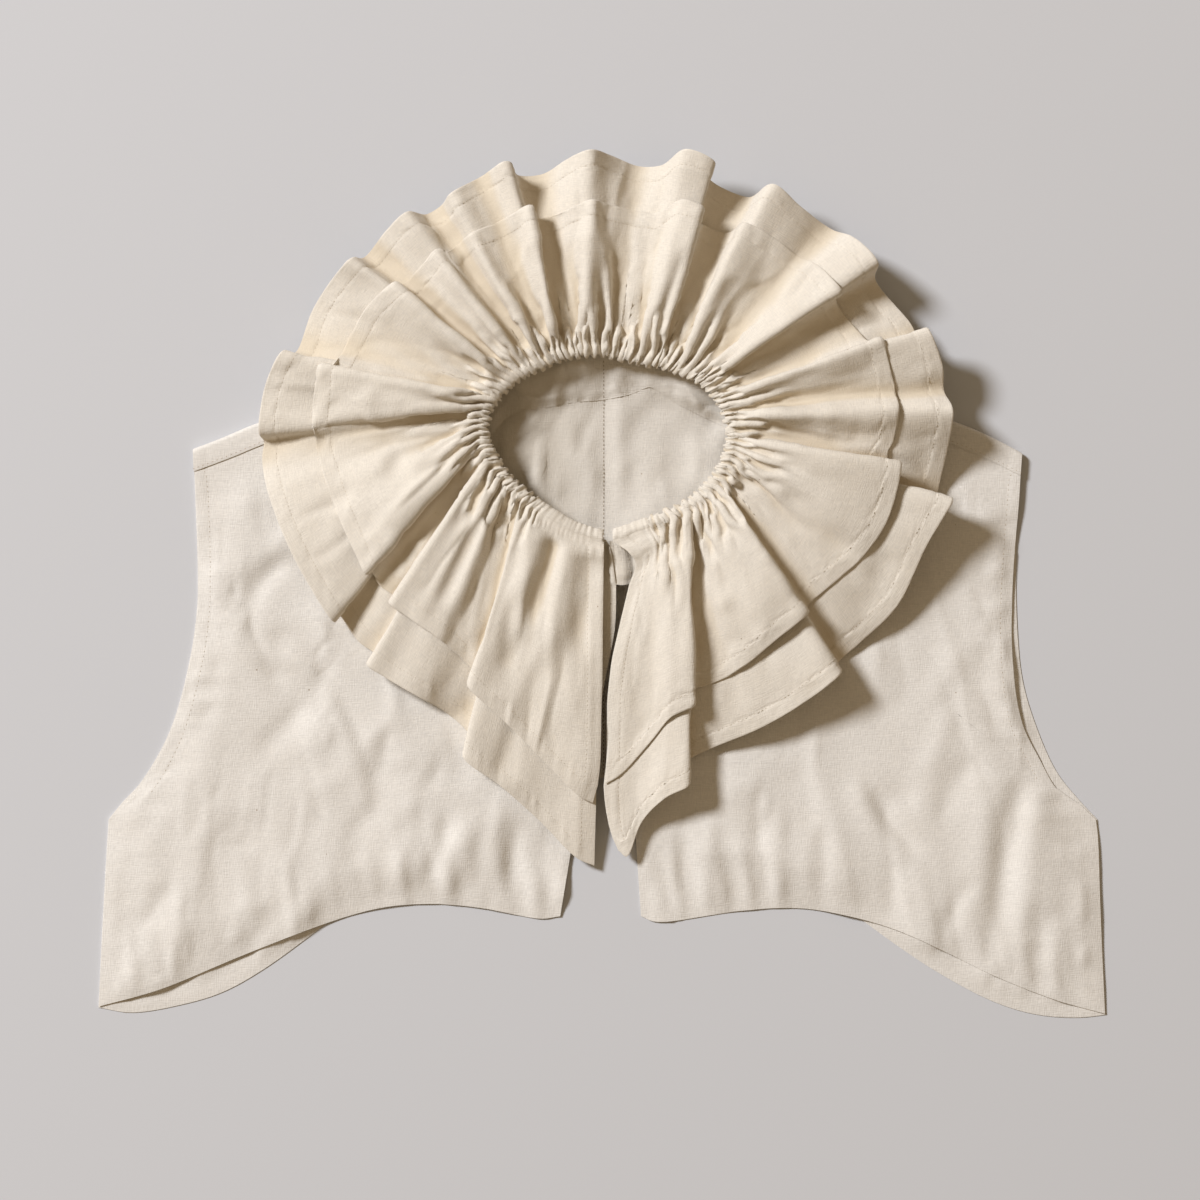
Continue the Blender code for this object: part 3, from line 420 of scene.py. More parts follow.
def patch(left, right, bottom, top):
    """Grid between four edge curves that share their corners; rows run from bottom to top."""
    v = np.linspace(0.0, 1.0, len(left))[:, None, None]
    u = np.linspace(0.0, 1.0, len(bottom))[None, :, None]
    across = (1 - u) * left[:, None, :] + u * right[:, None, :]
    along = (1 - v) * bottom[None, :, :] + v * top[None, :, :]
    corners = ((1 - u) * (1 - v) * bottom[0] + u * (1 - v) * bottom[-1]
               + (1 - u) * v * top[0] + u * v * top[-1])
    return across + along - corners


def with_height(plan, height):
    """Points in plan given a height."""
    return np.concatenate([plan, height[..., None]], axis=-1)


def rows_of(piece, start, stop=None):
    """Some rows of a piece of cloth."""
    return tuple(part[start:stop] for part in piece)


# ---------------------------------------------------------------- layers that lie on each other
MAP_LOW = np.array([-290.0, -250.0])
MAP_SHAPE = (581, 501)
NOTHING = -50.0           # height where no cloth lies
LIFT_PASSES = 6           # how often a lift is spread to its surroundings
NEAREST = 4               # points that a height between points is read from


def finer(field, parts):
    """A grid sampled more finely both ways."""
    for axis in (0, 1):
        n = field.shape[axis]
        at = np.linspace(0, n - 1, (n - 1) * parts + 1)
        low = np.minimum(at.astype(int), n - 2)
        share = (at - low).reshape([-1 if k == axis else 1 for k in range(field.ndim)])
        field = np.take(field, low, axis) * (1 - share) + np.take(field, low + 1, axis) * share
    return field


def laid_down(height_map, *pieces):
    """The map of heights, one for each square millimetre of the floor, with more cloth on it."""
    for grid, wall, *_ in pieces:
        top = finer(with_height(grid[..., :2], grid[..., 2] + wall / 2), 3)
        cells = np.round(top[..., :2] - MAP_LOW).astype(int).reshape(-1, 2)
        cells = np.clip(cells, 0, np.array(MAP_SHAPE) - 1)
        height_map = height_map.copy()
        np.maximum.at(height_map, (cells[:, 0], cells[:, 1]), top[..., 2].ravel())
    return height_map


def blurred(field, passes):
    """A grid of numbers smoothed both ways."""
    for _ in range(passes):
        for axis in (0, 1):
            wide = np.pad(field, [(1, 1) if k == axis else (0, 0) for k in range(2)], mode="edge")
            n = field.shape[axis]
            field = 0.5 * field + 0.25 * (np.take(wide, range(0, n), axis)
                                          + np.take(wide, range(2, n + 2), axis))
    return field


def map_read(height_map, points):
    """Height that the map holds at each point, read evenly between its squares."""
    at = np.clip(points[..., :2] - MAP_LOW, 0.0, np.array(MAP_SHAPE) - 1.001)
    i = at.astype(int)
    f = at - i
    x, y, f, g = i[..., 0], i[..., 1], f[..., 0], f[..., 1]
    return ((height_map[x, y] * (1 - f) + height_map[x + 1, y] * f) * (1 - g)
            + (height_map[x, y + 1] * (1 - f) + height_map[x + 1, y + 1] * f) * g)


def softened(height_map):
    """The map with each height carried over to its neighbours and its steps smoothed."""
    for axis in (0, 1):
        beside = np.maximum(np.roll(height_map, 1, axis), np.roll(height_map, -1, axis))
        height_map = np.maximum(height_map, beside)
    return blurred(height_map, 1)


def lying_on(height_map, piece, kept_rows=0):
    """The piece raised, where it must be, to lie on what the map holds, but for its last rows."""
    grid, wall = piece[0].copy(), piece[1]
    free = slice(0, len(grid) - kept_rows)
    under = map_read(softened(height_map), grid[free])
    need = np.maximum(under + wall[free] / 2 + GAP - grid[free, :, 2], 0.0)
    lift = need
    for _ in range(LIFT_PASSES):
        lift = np.maximum(need, blurred(lift, 2))
    grid[free, :, 2] += lift
    return (grid, *piece[1:])


def round_about(points, places, margin):
    """Which points lie, in plan, in the box round some places."""
    low, high = places.min(axis=0) - margin, places.max(axis=0) + margin
    return ((points[:, :2] > low) & (points[:, :2] < high)).all(axis=1)


def top_of(pieces, plan):
    """Height of the tops of some cloth at places in plan, read from the slope at its nearest points."""
    points = np.vstack([piece[0].reshape(-1, 3) for piece in pieces])
    up = np.vstack([upward(piece[0]).reshape(-1, 3) for piece in pieces])
    half = np.concatenate([piece[1].ravel() for piece in pieces]) / 2
    held = round_about(points, plan.reshape(-1, 2), 5.0)
    points, up, half = points[held], up[held], half[held]
    heights = []
    for row in plan:
        away = row[:, None] - points[None, :, :2]
        square = (away ** 2).sum(-1)
        near = np.argsort(square, axis=1)[:, :NEAREST]
        step = np.take_along_axis(away, near[..., None], axis=1)
        rise = half[near] / up[near][..., 2] - (step * up[near][..., :2]).sum(-1) / up[near][..., 2]
        weight = 1.0 / (np.take_along_axis(square, near, axis=1) + 0.05)
        heights.append(((points[near][..., 2] + rise) * weight).sum(-1) / weight.sum(-1))
    return np.array(heights)


def top_at(piece, places, reach=2.5):
    """Height of a piece's top at places in plan, where it reaches there, and else below the floor."""
    grid, wall = piece[0], piece[1]
    flat, top = grid[..., :2].reshape(-1, 2), (grid[..., 2] + wall / 2).ravel()
    held = round_about(flat, places, 4.0)
    flat, top = flat[held], top[held]
    heights = []
    for place in places:
        away = np.linalg.norm(flat - place, axis=1)
        near = np.argsort(away)[:NEAREST]
        mean = float(np.average(top[near], weights=1.0 / (away[near] + 0.01)))
        heights.append(mean if away[near[0]] < reach else -1.0)
    return np.array(heights)


# ---------------------------------------------------------------- cloth shells
WIDE_GRID = 400           # columns: only a ruffle has more


def added(name, data):
    """A new object of the scene."""
    made = bpy.data.objects.new(name, data)
    bpy.context.scene.collection.objects.link(made)
    return made


def neck_painted_shade(grid):
    """How much painted shade the cloth gets inside the neck hole, from 0 to 1, more towards the left."""
    x, y, z = grid[..., 0], grid[..., 1], grid[..., 2]
    not_front = smooth_step((6.0 - z + 12.0 * (y > 60.0)) / 3.0)
    inside = falling(from_centre(grid), 86.0, 26.0) * not_front
    return inside * (0.42 + 0.53 * falling(x, 15.0, 55.0))


def fold_painted_shade(grid):
    """How much painted shade each point of a ruffle gets in its folds, from 0 to 1, by its height against its
    row's neighbours.
    """
    height, span = grid[..., 2], 12
    total = np.cumsum(np.pad(height, ((0, 0), (span + 1, span)), mode="edge"), axis=1)
    mean = (total[:, 2 * span + 1:] - total[:, :-2 * span - 1]) / (2 * span + 1)
    reach = np.linalg.norm(np.roll(grid, -span, axis=1) - np.roll(grid, span, axis=1), axis=-1)
    return smooth_step(-0.12 + 8.0 * (mean - height) / np.maximum(reach, 4.0))


def shell(name, piece, material):
    """Closed thin solid round a piece of cloth, with a UV map in the cloth's own plane and a point attribute
    of painted shade.
    """
    grid, wall, uv = piece[:3]
    if np.median(normals_of(grid)[..., 2]) < 0:
        grid, wall, uv = (part[:, ::-1] for part in (grid, wall, uv))
    rows, columns = wall.shape
    count = rows * columns
    half = normals_of(grid) * (wall / 2)[..., None]
    points = np.vstack([(grid + half).reshape(-1, 3), (grid - half).reshape(-1, 3)]) * MM
    index = np.arange(count).reshape(rows, columns)
    top = np.stack([index[:-1, :-1], index[:-1, 1:], index[1:, 1:], index[1:, :-1]], axis=-1).reshape(-1, 4)
    ring = np.concatenate([index[0], index[1:, -1], index[-1, -2::-1], index[-2:0:-1, 0]])
    after = np.roll(ring, -1)
    rim = np.stack([after, ring, ring + count, after + count], axis=-1)
    quads = np.vstack([top, top[:, ::-1] + count, rim])
    mesh = bpy.data.meshes.new(name)
    mesh.vertices.add(len(points))
    mesh.vertices.foreach_set("co", points.astype(np.float32).ravel())
    mesh.loops.add(quads.size)
    mesh.loops.foreach_set("vertex_index", quads.astype(np.int32).ravel())
    mesh.polygons.add(len(quads))
    mesh.polygons.foreach_set("loop_start", np.arange(0, quads.size, 4, dtype=np.int32))
    mesh.update(calc_edges=True)
    mesh.validate()
    ends = np.zeros(2 * len(mesh.edges), np.int32)
    mesh.edges.foreach_get("vertices", ends)
    ends = ends.reshape(-1, 2)
    rimmed = np.zeros(len(points), bool)
    rimmed[ring] = rimmed[ring + count] = True
    sharp = rimmed[ends].all(axis=1) & ((ends[:, 0] < count) == (ends[:, 1] < count))
    mesh.attributes.new("sharp_edge", "BOOLEAN", "EDGE").data.foreach_set("value", sharp)
    both = np.vstack([uv.reshape(-1, 2), uv.reshape(-1, 2)]) * MM
    layer = mesh.uv_layers.new(name="cloth")
    layer.data.foreach_set("uv", both[quads.ravel()].astype(np.float32).ravel())
    # Painted shade, in the ruffles' folds and inside the neck hole on the bodice pieces, kept as the hollow
    # attribute
    hollow = fold_painted_shade(grid) if columns > WIDE_GRID else neck_painted_shade(grid)
    painted_shade_layer = mesh.attributes.new("hollow", "FLOAT", "POINT")
    painted_shade_layer.data.foreach_set("value", np.tile(hollow.ravel(), 2).astype(np.float32))
    mesh.polygons.foreach_set("use_smooth", np.ones(len(quads), bool))
    mesh.materials.append(material)
    return added(name, mesh)


# ---------------------------------------------------------------- gathers
TURNS = np.linspace(0.0, 360.0, 2000)
NECK_ARC = arc_length(neck_edge(TURNS)[:, :2])
NECK_ROUND = float(NECK_ARC[-1])


def neck_place(turn):
    """Distance along the neck edge at a turn."""
    return np.interp(turn, TURNS, NECK_ARC)


def creases_along_neck(seed, first, following, strengths, reaches):
    """Where each gather starts along the neck, its strength and how far out it runs."""
    rng = np.random.default_rng(seed)
    starts = [first]
    while starts[-1] < NECK_ROUND:
        starts.append(following(starts[-1], rng))
    count = len(starts)
    return np.array(starts), rng.uniform(*strengths, count), rng.uniform(*reaches, count)


# Shares of a gather's and of a fold's round top that lie below the cloth's middle.
GATHER_TOP, FOLD_TOP = 0.62, 0.6
GATHERS = creases_along_neck(11, 0.0, lambda at, rng: at + 1.9 + 5.4 * rng.uniform() ** 1.5,
                             (0.5, 1.6), (1.5, 10.0))
ROOT_FOLDS = creases_along_neck(23, -2.0, lambda at, rng: at + rng.uniform(5.5, 14.5),
                                (0.5, 1.5), (15.0, 55.0))


def crossed(table, place, round_share):
    """Height across the gather at a place along the neck, less a share of its top, and its reach."""
    starts, strength, reach = table
    at = np.clip(place, starts[0], NECK_ROUND - 0.01)
    i = np.clip(np.searchsorted(starts, at, side="right") - 1, 0, len(starts) - 2)
    share = (at - starts[i]) / (starts[i + 1] - starts[i])
    roll = np.maximum(1.0 - np.abs(2.0 * share - 1.0) ** 2.2, 0.0) ** 0.7
    return (roll - round_share) * strength[i], reach[i]


def gathered(turn):
    """How strongly the cloth is drawn up at a turn: none in the smooth stretch at the right front."""
    opened = 0.07 * rising(turn, 18.0, 16.0) + 0.93 * rising(turn, 41.0, 17.0)
    faded = 0.02 + 0.98 * falling(turn, 341.0, 15.0)
    return opened * faded


def gather_height(turn, out):
    """Fine gathers of the neck and the folds they run into, at a turn and a distance outwards."""
    place = neck_place(turn)
    wobble = 0.9 * noise(place, out, 8.0, 5) * rising(out, -8.0, 14.0)
    fine, reach = crossed(GATHERS, place + wobble, GATHER_TOP)
    fine = fine * np.exp(-(np.maximum(out - 6.0, 0.0) / reach) ** 1.4)
    wide, reach = crossed(ROOT_FOLDS, place + 1.6 * noise(place, out, 16.0, 8), FOLD_TOP)
    wide = wide * (rising(out, 4.0, 10.0) * bell(out, 0.0, reach))
    return fine, wide


# ---------------------------------------------------------------- cloth that finds its own folds
# By the distance outwards: share of cloth beyond the span, share of its length that bending keeps, and
# how stiffly a row keeps its broad form.
FULLNESS = ((-15, 0.25), (-9, 0.7), (-4, 1.25), (0, 1.5), (4, 1.2), (8, 0.95), (13, 0.72), (19, 0.52),
            (27, 0.33), (40, 0.16), (65, 0.05), (200, 0.0))
BEND = ((-15, 0.70), (0, 0.70), (6, 0.8), (12, 0.9), (20, 0.96), (60, 0.98), (200, 0.98))
STIFFNESS = ((-15, 0.0), (4, 0.0), (8, 0.012), (14, 0.03), (22, 0.06), (40, 0.14), (200, 0.2))
# Points that resist bending: how far apart, grid axis, share of their length in the cloth, stiffness.
BENDING = ((2, 1, 1.0, 0.35), (5, 1, 0.9, 0.15), (2, 0, 0.995, 0.4), (4, 0, 0.99, 0.3))
FREE_DOWN = 1.003         # slack of the cloth from neck to hem
LEAST_SPAN = 0.22         # share of its broad span under which a fold may not close, and the least span
LEAST_GAP = 0.05
FOLD_BACK = 0.3           # how much further a folded-back place may fold
SETTLING = 320            # steps of the relaxation
STEP_SHARE = 0.45         # share of its moves that a step takes
FORM_SHARE = 0.10         # share of the broad drift that every fourth step takes back
RISE_LIMIT = 0.6          # how far cloth is lifted at once off what it lies on
EASING = 45               # steps that open narrow slits


def pulled(move, points, k, axis, rest, stiff, only_short):
    """Adds the moves that bring points k apart along a grid axis towards their length in the cloth."""
    first, second = [slice(None)] * 3, [slice(None)] * 3
    first[axis], second[axis] = slice(0, points.shape[axis] - k), slice(k, points.shape[axis])
    first, second = tuple(first), tuple(second)
    way = points[second] - points[first]
    length = np.sqrt((way * way).sum(-1)) + 1e-6
    error = length - rest
    if only_short:
        error = np.minimum(error, 0.0)
    step = way * (0.5 * stiff * error / length)[..., None]
    move[first] += step
    move[second] -= step


def chained(rest, k, axis):
    """Length in the cloth between points k apart along a grid axis."""
    n = rest.shape[axis]
    return sum(np.take(rest, range(j, n - k + 1 + j), axis) for j in range(k))


def beside_mean(points):
    """Mean of the four points beside each along its row."""
    return (points[:, :-4] + points[:, 1:-3] + points[:, 3:-1] + points[:, 4:]) / 4


def relaxed(start, base, out, fullness, height_map, wall):
    """Gathered cloth settled from a start near its broad form: each row has more length than it spans."""
    across = np.linalg.norm(np.diff(base, axis=1), axis=-1)
    between = (out[:, 1:] + out[:, :-1]) / 2
    extra = table_read(FULLNESS, between) * (fullness[:, 1:] + fullness[:, :-1]) / 2
    across = across * (1.0 + extra)
    down = np.linalg.norm(np.diff(base, axis=0), axis=-1) * FREE_DOWN
    bend = table_read(BEND, out)
    stiffness = table_read(STIFFNESS, out)[:, 2:-2, None].astype(np.float32)
    rules = [(1, 1, across, 0.9, False), (1, 0, down, 0.9, False)]
    for k, axis, share, stiff in BENDING:
        rest = chained(across if axis == 1 else down, k, axis) * share
        if axis == 1:
            rest = rest * bend[:, k // 2:k // 2 + rest.shape[1]]
        rules.append((k, axis, rest, stiff, True))
    tangent = np.gradient(base[..., :2], axis=1)
    tangent /= np.maximum(np.linalg.norm(tangent, axis=-1, keepdims=True), 1e-6)
    tangent = (tangent[:, 1:] + tangent[:, :-1]) / 2
    least = ((base[:, 1:, :2] - base[:, :-1, :2]) * tangent).sum(-1)
    least = np.where(least > 0, np.maximum(LEAST_SPAN * least, LEAST_GAP), least - FOLD_BACK)
    points, base = start.astype(np.float32), base.astype(np.float32)
    free = np.ones(out.shape + (1,), np.float32)
    free[0] = free[-1] = free[:, 0] = free[:, -1] = 0.0
    under = softened(height_map)
    for step in range(SETTLING):
        move = np.zeros_like(points)
        for rule in rules:
            pulled(move, points, *rule)
        gap = ((points[:, 1:, :2] - points[:, :-1, :2]) * tangent).sum(-1)
        push = (0.5 * np.maximum(least - gap, 0.0))[..., None] * tangent
        move[:, :-1, :2] -= push
        move[:, 1:, :2] += push
        points += STEP_SHARE * move * free
        off = points - base
        points[1:-1, 2:-2] += (stiffness * (beside_mean(off) - off[:, 2:-2]))[1:-1]
        if step % 4 == 0:
            smooth = points - base
            for _ in range(3):
                smooth[:, 3:-3] = (smooth[:, 3:-3] + smooth[:, :-6] + smooth[:, 6:]) / 3
                smooth[1:-1] = (smooth[1:-1] + smooth[:-2] + smooth[2:]) / 3
            points -= FORM_SHARE * smooth * free
            low = map_read(under, points) + wall / 2 + GAP
            height = points[..., 2]
            points[..., 2] = np.maximum(height, np.minimum(low, height + RISE_LIMIT))
    return points.astype(float)


def eased(points, out):
    """The cloth with slits too narrow for its thickness opened out, but for the gathers by the neck."""
    points = points.copy()
    beyond = smooth_step((out[:, 2:-2] - 8.0) / 6.0)
    for _ in range(EASING):
        here = points[:, 2:-2]
        before, after = here - points[:, :-4], points[:, 4:] - here
        size = np.linalg.norm(before, axis=-1) * np.linalg.norm(after, axis=-1)
        turn = (before * after).sum(-1) / np.maximum(size, 1e-9)
        share = falling(turn, 0.45, 0.5) * beyond
        points[1:-1, 2:-2] += (0.6 * share[..., None] * (beside_mean(points) - here))[1:-1]
    return points


def turned_in(edge, depth):
    """1 on a turned edge of some depth, 0 on the single cloth."""
    return 1.0 - smooth_step((edge - depth + 0.6) / 1.2)


# ---------------------------------------------------------------- ruffles
RUFFLE_COLUMNS = 830
# Rows of a ruffle: distances outwards by the neck, some rows between, distances from the hem.
ROOT_ROWS = np.concatenate([np.arange(0.0, 10.0, 1.05), np.arange(10.5, 27.0, 1.65)])
MIDDLE_ROWS = 17
HEM_ROWS = np.array([13.0, 10.5, 9.2, 8.5, 8.0, 7.5, 6.4, 4.6, 2.6, 1.0, 0.3, 0.0])
# Rows of the gathered band round the neck edge: distance outwards, height.
RING = ((2.0, -8.2), (0.5, -6.9), (-0.6, -5.3), (-1.1, -3.6), (-1.1, -2.0), (-0.5, -0.6), (0.6, 0.4),
        (2.0, 0.8), (3.3, 0.6))
LAST_FOLD = len(FOLDS) - 1.0
LEVEL_SPAN = 80           # samples either way over which the flutes' mean height is taken
END_FOLDS = 3.0           # rows of FOLDS over which the swing of an end edge dies out
ROOT_BUMP = (6.0, 5.5)    # where, outwards, a ruffle stands up beside the band, and how widely
GATHER_LIFT = 1.6         # height of the gathers and of the folds that the relaxation starts from
FOLD_LIFT = 5.5
RUFFLE_RUMPLE = ((0.8, noise, 22.0, 0, 0.6, 0.0), (0.5, noise, 10.0, 1, 0.7, 0.0),
                 (0.10, noise, 4.5, 2, 1.0, 0.0), (1.15, wrinkled, 24.0, 9, 0.7, 0.0))


def hem_samples(column, at):
    """Turn and hem point of one tier at fractional rows of FOLDS."""
    rows = np.array([(fold[0],) + fold[column:column + 3] for fold in FOLDS], float)
    ring = np.vstack([2 * rows[0] - rows[1], rows, 2 * rows[-1] - rows[-2]])
    knots = arc_length(ring[:, 1:], root=True)
    return spline(ring, knots, np.interp(at, np.arange(len(rows)), knots[1:-1]))


def tier_columns(column):
    """Fractional rows of FOLDS, close where either the neck or the hem is long."""
    at = np.linspace(0.0, LAST_FOLD, 40 * len(FOLDS))
    line = hem_samples(column, at)
    hem = arc_length(line[:, 1:])
    neck = np.abs(neck_place(line[:, 0]) - neck_place(line[0, 0]))
    measure = 1.15 * neck / neck.max() + hem / hem[-1]
    measure = np.maximum.accumulate(measure) + np.linspace(0, 1e-6, len(measure))
    return np.interp(np.linspace(measure[0], measure[-1], RUFFLE_COLUMNS), measure, at)


def broad_form(hem_column, start, below, growth, bump, swings, dents):
    """A ruffle before its gathers: middle points, distances outwards, length and turn of each column."""
    at = tier_columns(hem_column)
    line = hem_samples(hem_column, at)
    turn, hem = line[:, 0], line[:, 1:]
    dense_at = np.linspace(0.0, LAST_FOLD, 20 * (len(FOLDS) - 1) + 1)
    level = np.pad(hem_samples(hem_column, dense_at)[:, 3], LEVEL_SPAN, mode="edge")
    window = np.ones(2 * LEVEL_SPAN + 1) / (2 * LEVEL_SPAN + 1)
    level = np.interp(at, dense_at, np.convolve(level, window, mode="valid"))
    flute = hem[:, 2] - level
    neck = neck_edge(turn, start)
    neck[:, 2] -= below
    length = np.linalg.norm(hem - neck, axis=1)
    out = [np.full(len(at), r) for r in ROOT_ROWS]
    out += [ROOT_ROWS[-1] + (length - HEM_ROWS[0] - ROOT_ROWS[-1]) * share
            for share in np.linspace(0.0, 1.0, MIDDLE_ROWS + 2)[1:-1]]
    out = np.array(out + [length - r for r in HEM_ROWS])
    v = out / length
    grid = neck + (hem - neck) * v[..., None]
    rise = (level - neck[:, 2]) * v + flute * v ** growth + HUMP * 4 * v * (1 - v)
    grid[..., 2] = neck[:, 2] + rise * smooth_step(v / NECK_LEVEL) + bump * bell(out, *ROOT_BUMP)
    from_end = (at / END_FOLDS, (LAST_FOLD - at) / END_FOLDS)
    grid[..., 0] += sum(table_read(swing, v) * (1 - smooth_step(folds))
                        for swing, folds in zip(swings, from_end))
    grid[..., 2] += creased(grid, dents) * rising(out, 3.0, 9.0)
    return grid, out, length, turn


def neck_roll(turn):
    """Rows of the gathered band inside a ruffle's start, and their distances outwards, below 0."""
    place, level = neck_place(turn), 0 * turn
    wobble = 0.6 * noise(place, level, 15.0, 3) + 0.3 * noise(place, level, 5.0, 4)
    plain = 1.0 - rising(np.minimum(turn, 360.0 - turn), 24.0, 20.0)
    rows = []
    for k, (out, up) in enumerate(RING):
        row = neck_edge(turn, out + 0.4 * wobble)
        row[:, 2] += up + wobble + 0.22 * plain * (-1) ** k
        rows.append(row)
    steps = [math.dist(p, q) for p, q in zip(RING[:0:-1], RING[-2::-1])]
    inwards = np.cumsum([0.0] + steps)[::-1] + 0.6
    return np.array(rows), np.repeat(-inwards[:, None], len(turn), axis=1)


def tier(height_map, seed, rolled, **form):
    """One ruffle that lies on what the map holds, with the gathered band's rows first if it is rolled."""
    grid, out, length, turn = broad_form(**form)
    if rolled:
        ring, inside = neck_roll(turn)
        grid, out = np.concatenate([ring, grid]), np.concatenate([inside, out])
    to_hem = length - out
    row_arc = np.cumsum(np.linalg.norm(np.diff(grid, axis=1, prepend=grid[:, :1]), axis=-1), axis=1)
    edge = np.minimum(to_hem, np.minimum(row_arc, row_arc[:, -1:] - row_arc))
    across = row_arc[-1] + 0.0 * out
    fine, wide = gather_height(turn + 0.0 * out, out + TIER_START)
    strength = gathered(turn)
    seeds = ((fine * GATHER_LIFT + wide * FOLD_LIFT) * strength
             + 0.5 * noise(across, out, 12.0, seed) * smooth_step(out / 20.0))
    start = grid + upward(grid) * (seeds * smooth_step(edge / 6.0))[..., None]
    grid = relaxed(start, grid, out, strength + 0.0 * out, height_map, np.full(out.shape, CLOTH))
    grid = eased(grid, out)
    rumple = rumpled(across, out, seed, RUFFLE_RUMPLE) * smooth_step(out / 30.0)
    rumple = rumple * (0.35 + 0.65 * smooth_step(to_hem / 12.0))
    pucker = 0.32 * noise(row_arc, 0.0 * out, 3.2, seed + 3) * bell(edge, 6.5, 4.5)
    groove = -0.14 * bell(edge, RUFFLE_HEM, 0.8)
    grid = grid + upward(grid) * (rumple + pucker + groove)[..., None]
    wall = CLOTH + (HEM - CLOTH) * turned_in(edge, RUFFLE_HEM)
    wall = np.where(edge < RIM, wall * RIM_SHARE, wall)
    return lying_on(height_map, (grid, wall, np.stack([across, out], axis=-1), edge))


# ---------------------------------------------------------------- bodice
LEFT_NECK = neck_edge(np.linspace(3.0, SHOULDER_TURNS[0], 40), TIER_START)
RIGHT_NECK = neck_edge(np.linspace(357.0, SHOULDER_TURNS[1], 40), TIER_START)
BACK_NECK = neck_edge(np.linspace(*SHOULDER_TURNS, 40), TIER_START)
PANEL_ROWS = (44, 74)     # rows up the side seam or centre front, and up the armhole or neck
FLAT_ROWS = sum(PANEL_ROWS) - 1
PANEL_COLUMNS = 110
UNDER_SEAM = 2.2          # how far a front's shoulder edge reaches past the back's seam edge
BACK_RUMPLE = ((1.8, noise, 24.0, 0, 1.0, 0.0), (1.5, noise, 13.0, 1, 1.0, 0.0),
               (2.6, wrinkled, 20.0, 11, 1.0, 0.0))
SEEN_RUMPLE = ((1.1, noise, 8.5, 2, 1.0, 0.0), (1.0, noise, 15.0, 3, 1.0, 0.0))    # inside the neck
FRONT_RUMPLE = ((0.22, noise, 21.0, 1, 0.7, 0.0), (1.5, wrinkled, 36.0, 11, 0.6, 0.3),
                (0.5, wrinkled, 15.0, 31, 0.5, 0.0))
FACING_RUMPLE = ((1.7, noise, 15.0, 0, 1.0, 0.0), (0.8, noise, 8.0, 1, 1.0, 0.0),
                 (1.5, wrinkled, 18.0, 4, 1.0, 0.0))


def edge_rows(first, second):
    """One edge of a panel, made of two curves that meet at a corner."""
    return np.vstack([curve(first, PANEL_ROWS[0]), curve(second, PANEL_ROWS[1])[1:]])


def to_border(grid, *sides):
    """Distance in plan from each point to the named borders of its grid."""
    lines = {"left": grid[:, 0], "right": grid[:, -1], "bottom": grid[0], "top": grid[-1]}
    return np.min([distance_to(grid, lines[side][::3]) for side in sides], axis=0)


def finished_panel(grid, edge):
    """A bodice panel with its turned edges."""
    band = turned_in(edge, BODICE_HEM)
    groove = -0.12 * bell(edge, BODICE_HEM, 0.9)
    wall = CLOTH + PANEL_HEM_MORE * band
    wall = np.where(edge < PANEL_RIM, wall * PANEL_RIM_SHARE, wall)
    grid = grid.copy()
    grid[..., 2] += groove * rising(grid[..., 2], 0.6, 0.6) + 0.07 * band
    return grid, wall, grid[..., :2].copy(), edge


def shoulder_height(points):
    """Middle of the upper layer along a shoulder."""
    near = np.minimum(distance_to(points, LEFT_NECK), distance_to(points, RIGHT_NECK))
    climb = (1.0 - smooth_step(near / FRONT_NECK_REACH)) ** 1.5
    return FRONT_LIFT + (neck_edge(turn_of(points))[:, 2] - FRONT_BELOW - FRONT_LIFT) * climb


def shoulder_fold(edge, before, neck_turn, sense):
    """Rows that carry the back over its shoulder fold, onto the front."""
    way = edge[:, :2] - before[:, :2]
    along = np.gradient(edge[:, :2], axis=0)
    out = np.stack([-along[:, 1], along[:, 0]], axis=1)
    out /= np.linalg.norm(out, axis=1, keepdims=True)
    out *= np.sign((out * way).sum(1))[:, None]
    along_neck = (neck_edge(neck_turn, TIER_START) - neck_edge(neck_turn - sense, TIER_START))[:2]
    along_neck /= np.linalg.norm(along_neck)
    share = np.linspace(0.0, 1.0, len(edge))[:, None] ** 3
    out = out * (1 - share) + along_neck * share
    share = np.linspace(1.0, 0.0, len(edge))[:, None] ** 7
    out = out * (1 - share) + way[:1] / np.linalg.norm(way[0]) * share
    out /= np.linalg.norm(out, axis=1, keepdims=True)
    top = shoulder_height(edge)
    radius = (top - edge[:, 2]) / 2
    rows = []
    for a in (math.radians(degrees) for degrees in np.linspace(18.0, 180.0, 10)):
        plan = edge[:, :2] + out * (radius * math.sin(a))[:, None]
        rows.append(with_height(plan, edge[:, 2] + radius * (1.0 - math.cos(a))))
    for share in (0.3, 0.6, 0.85, 0.95, 1.0):
        rows.append(with_height(edge[:, :2] - out * SHOULDER_TURNED * share, top - 0.25 * share ** 8))
    return np.array(rows)


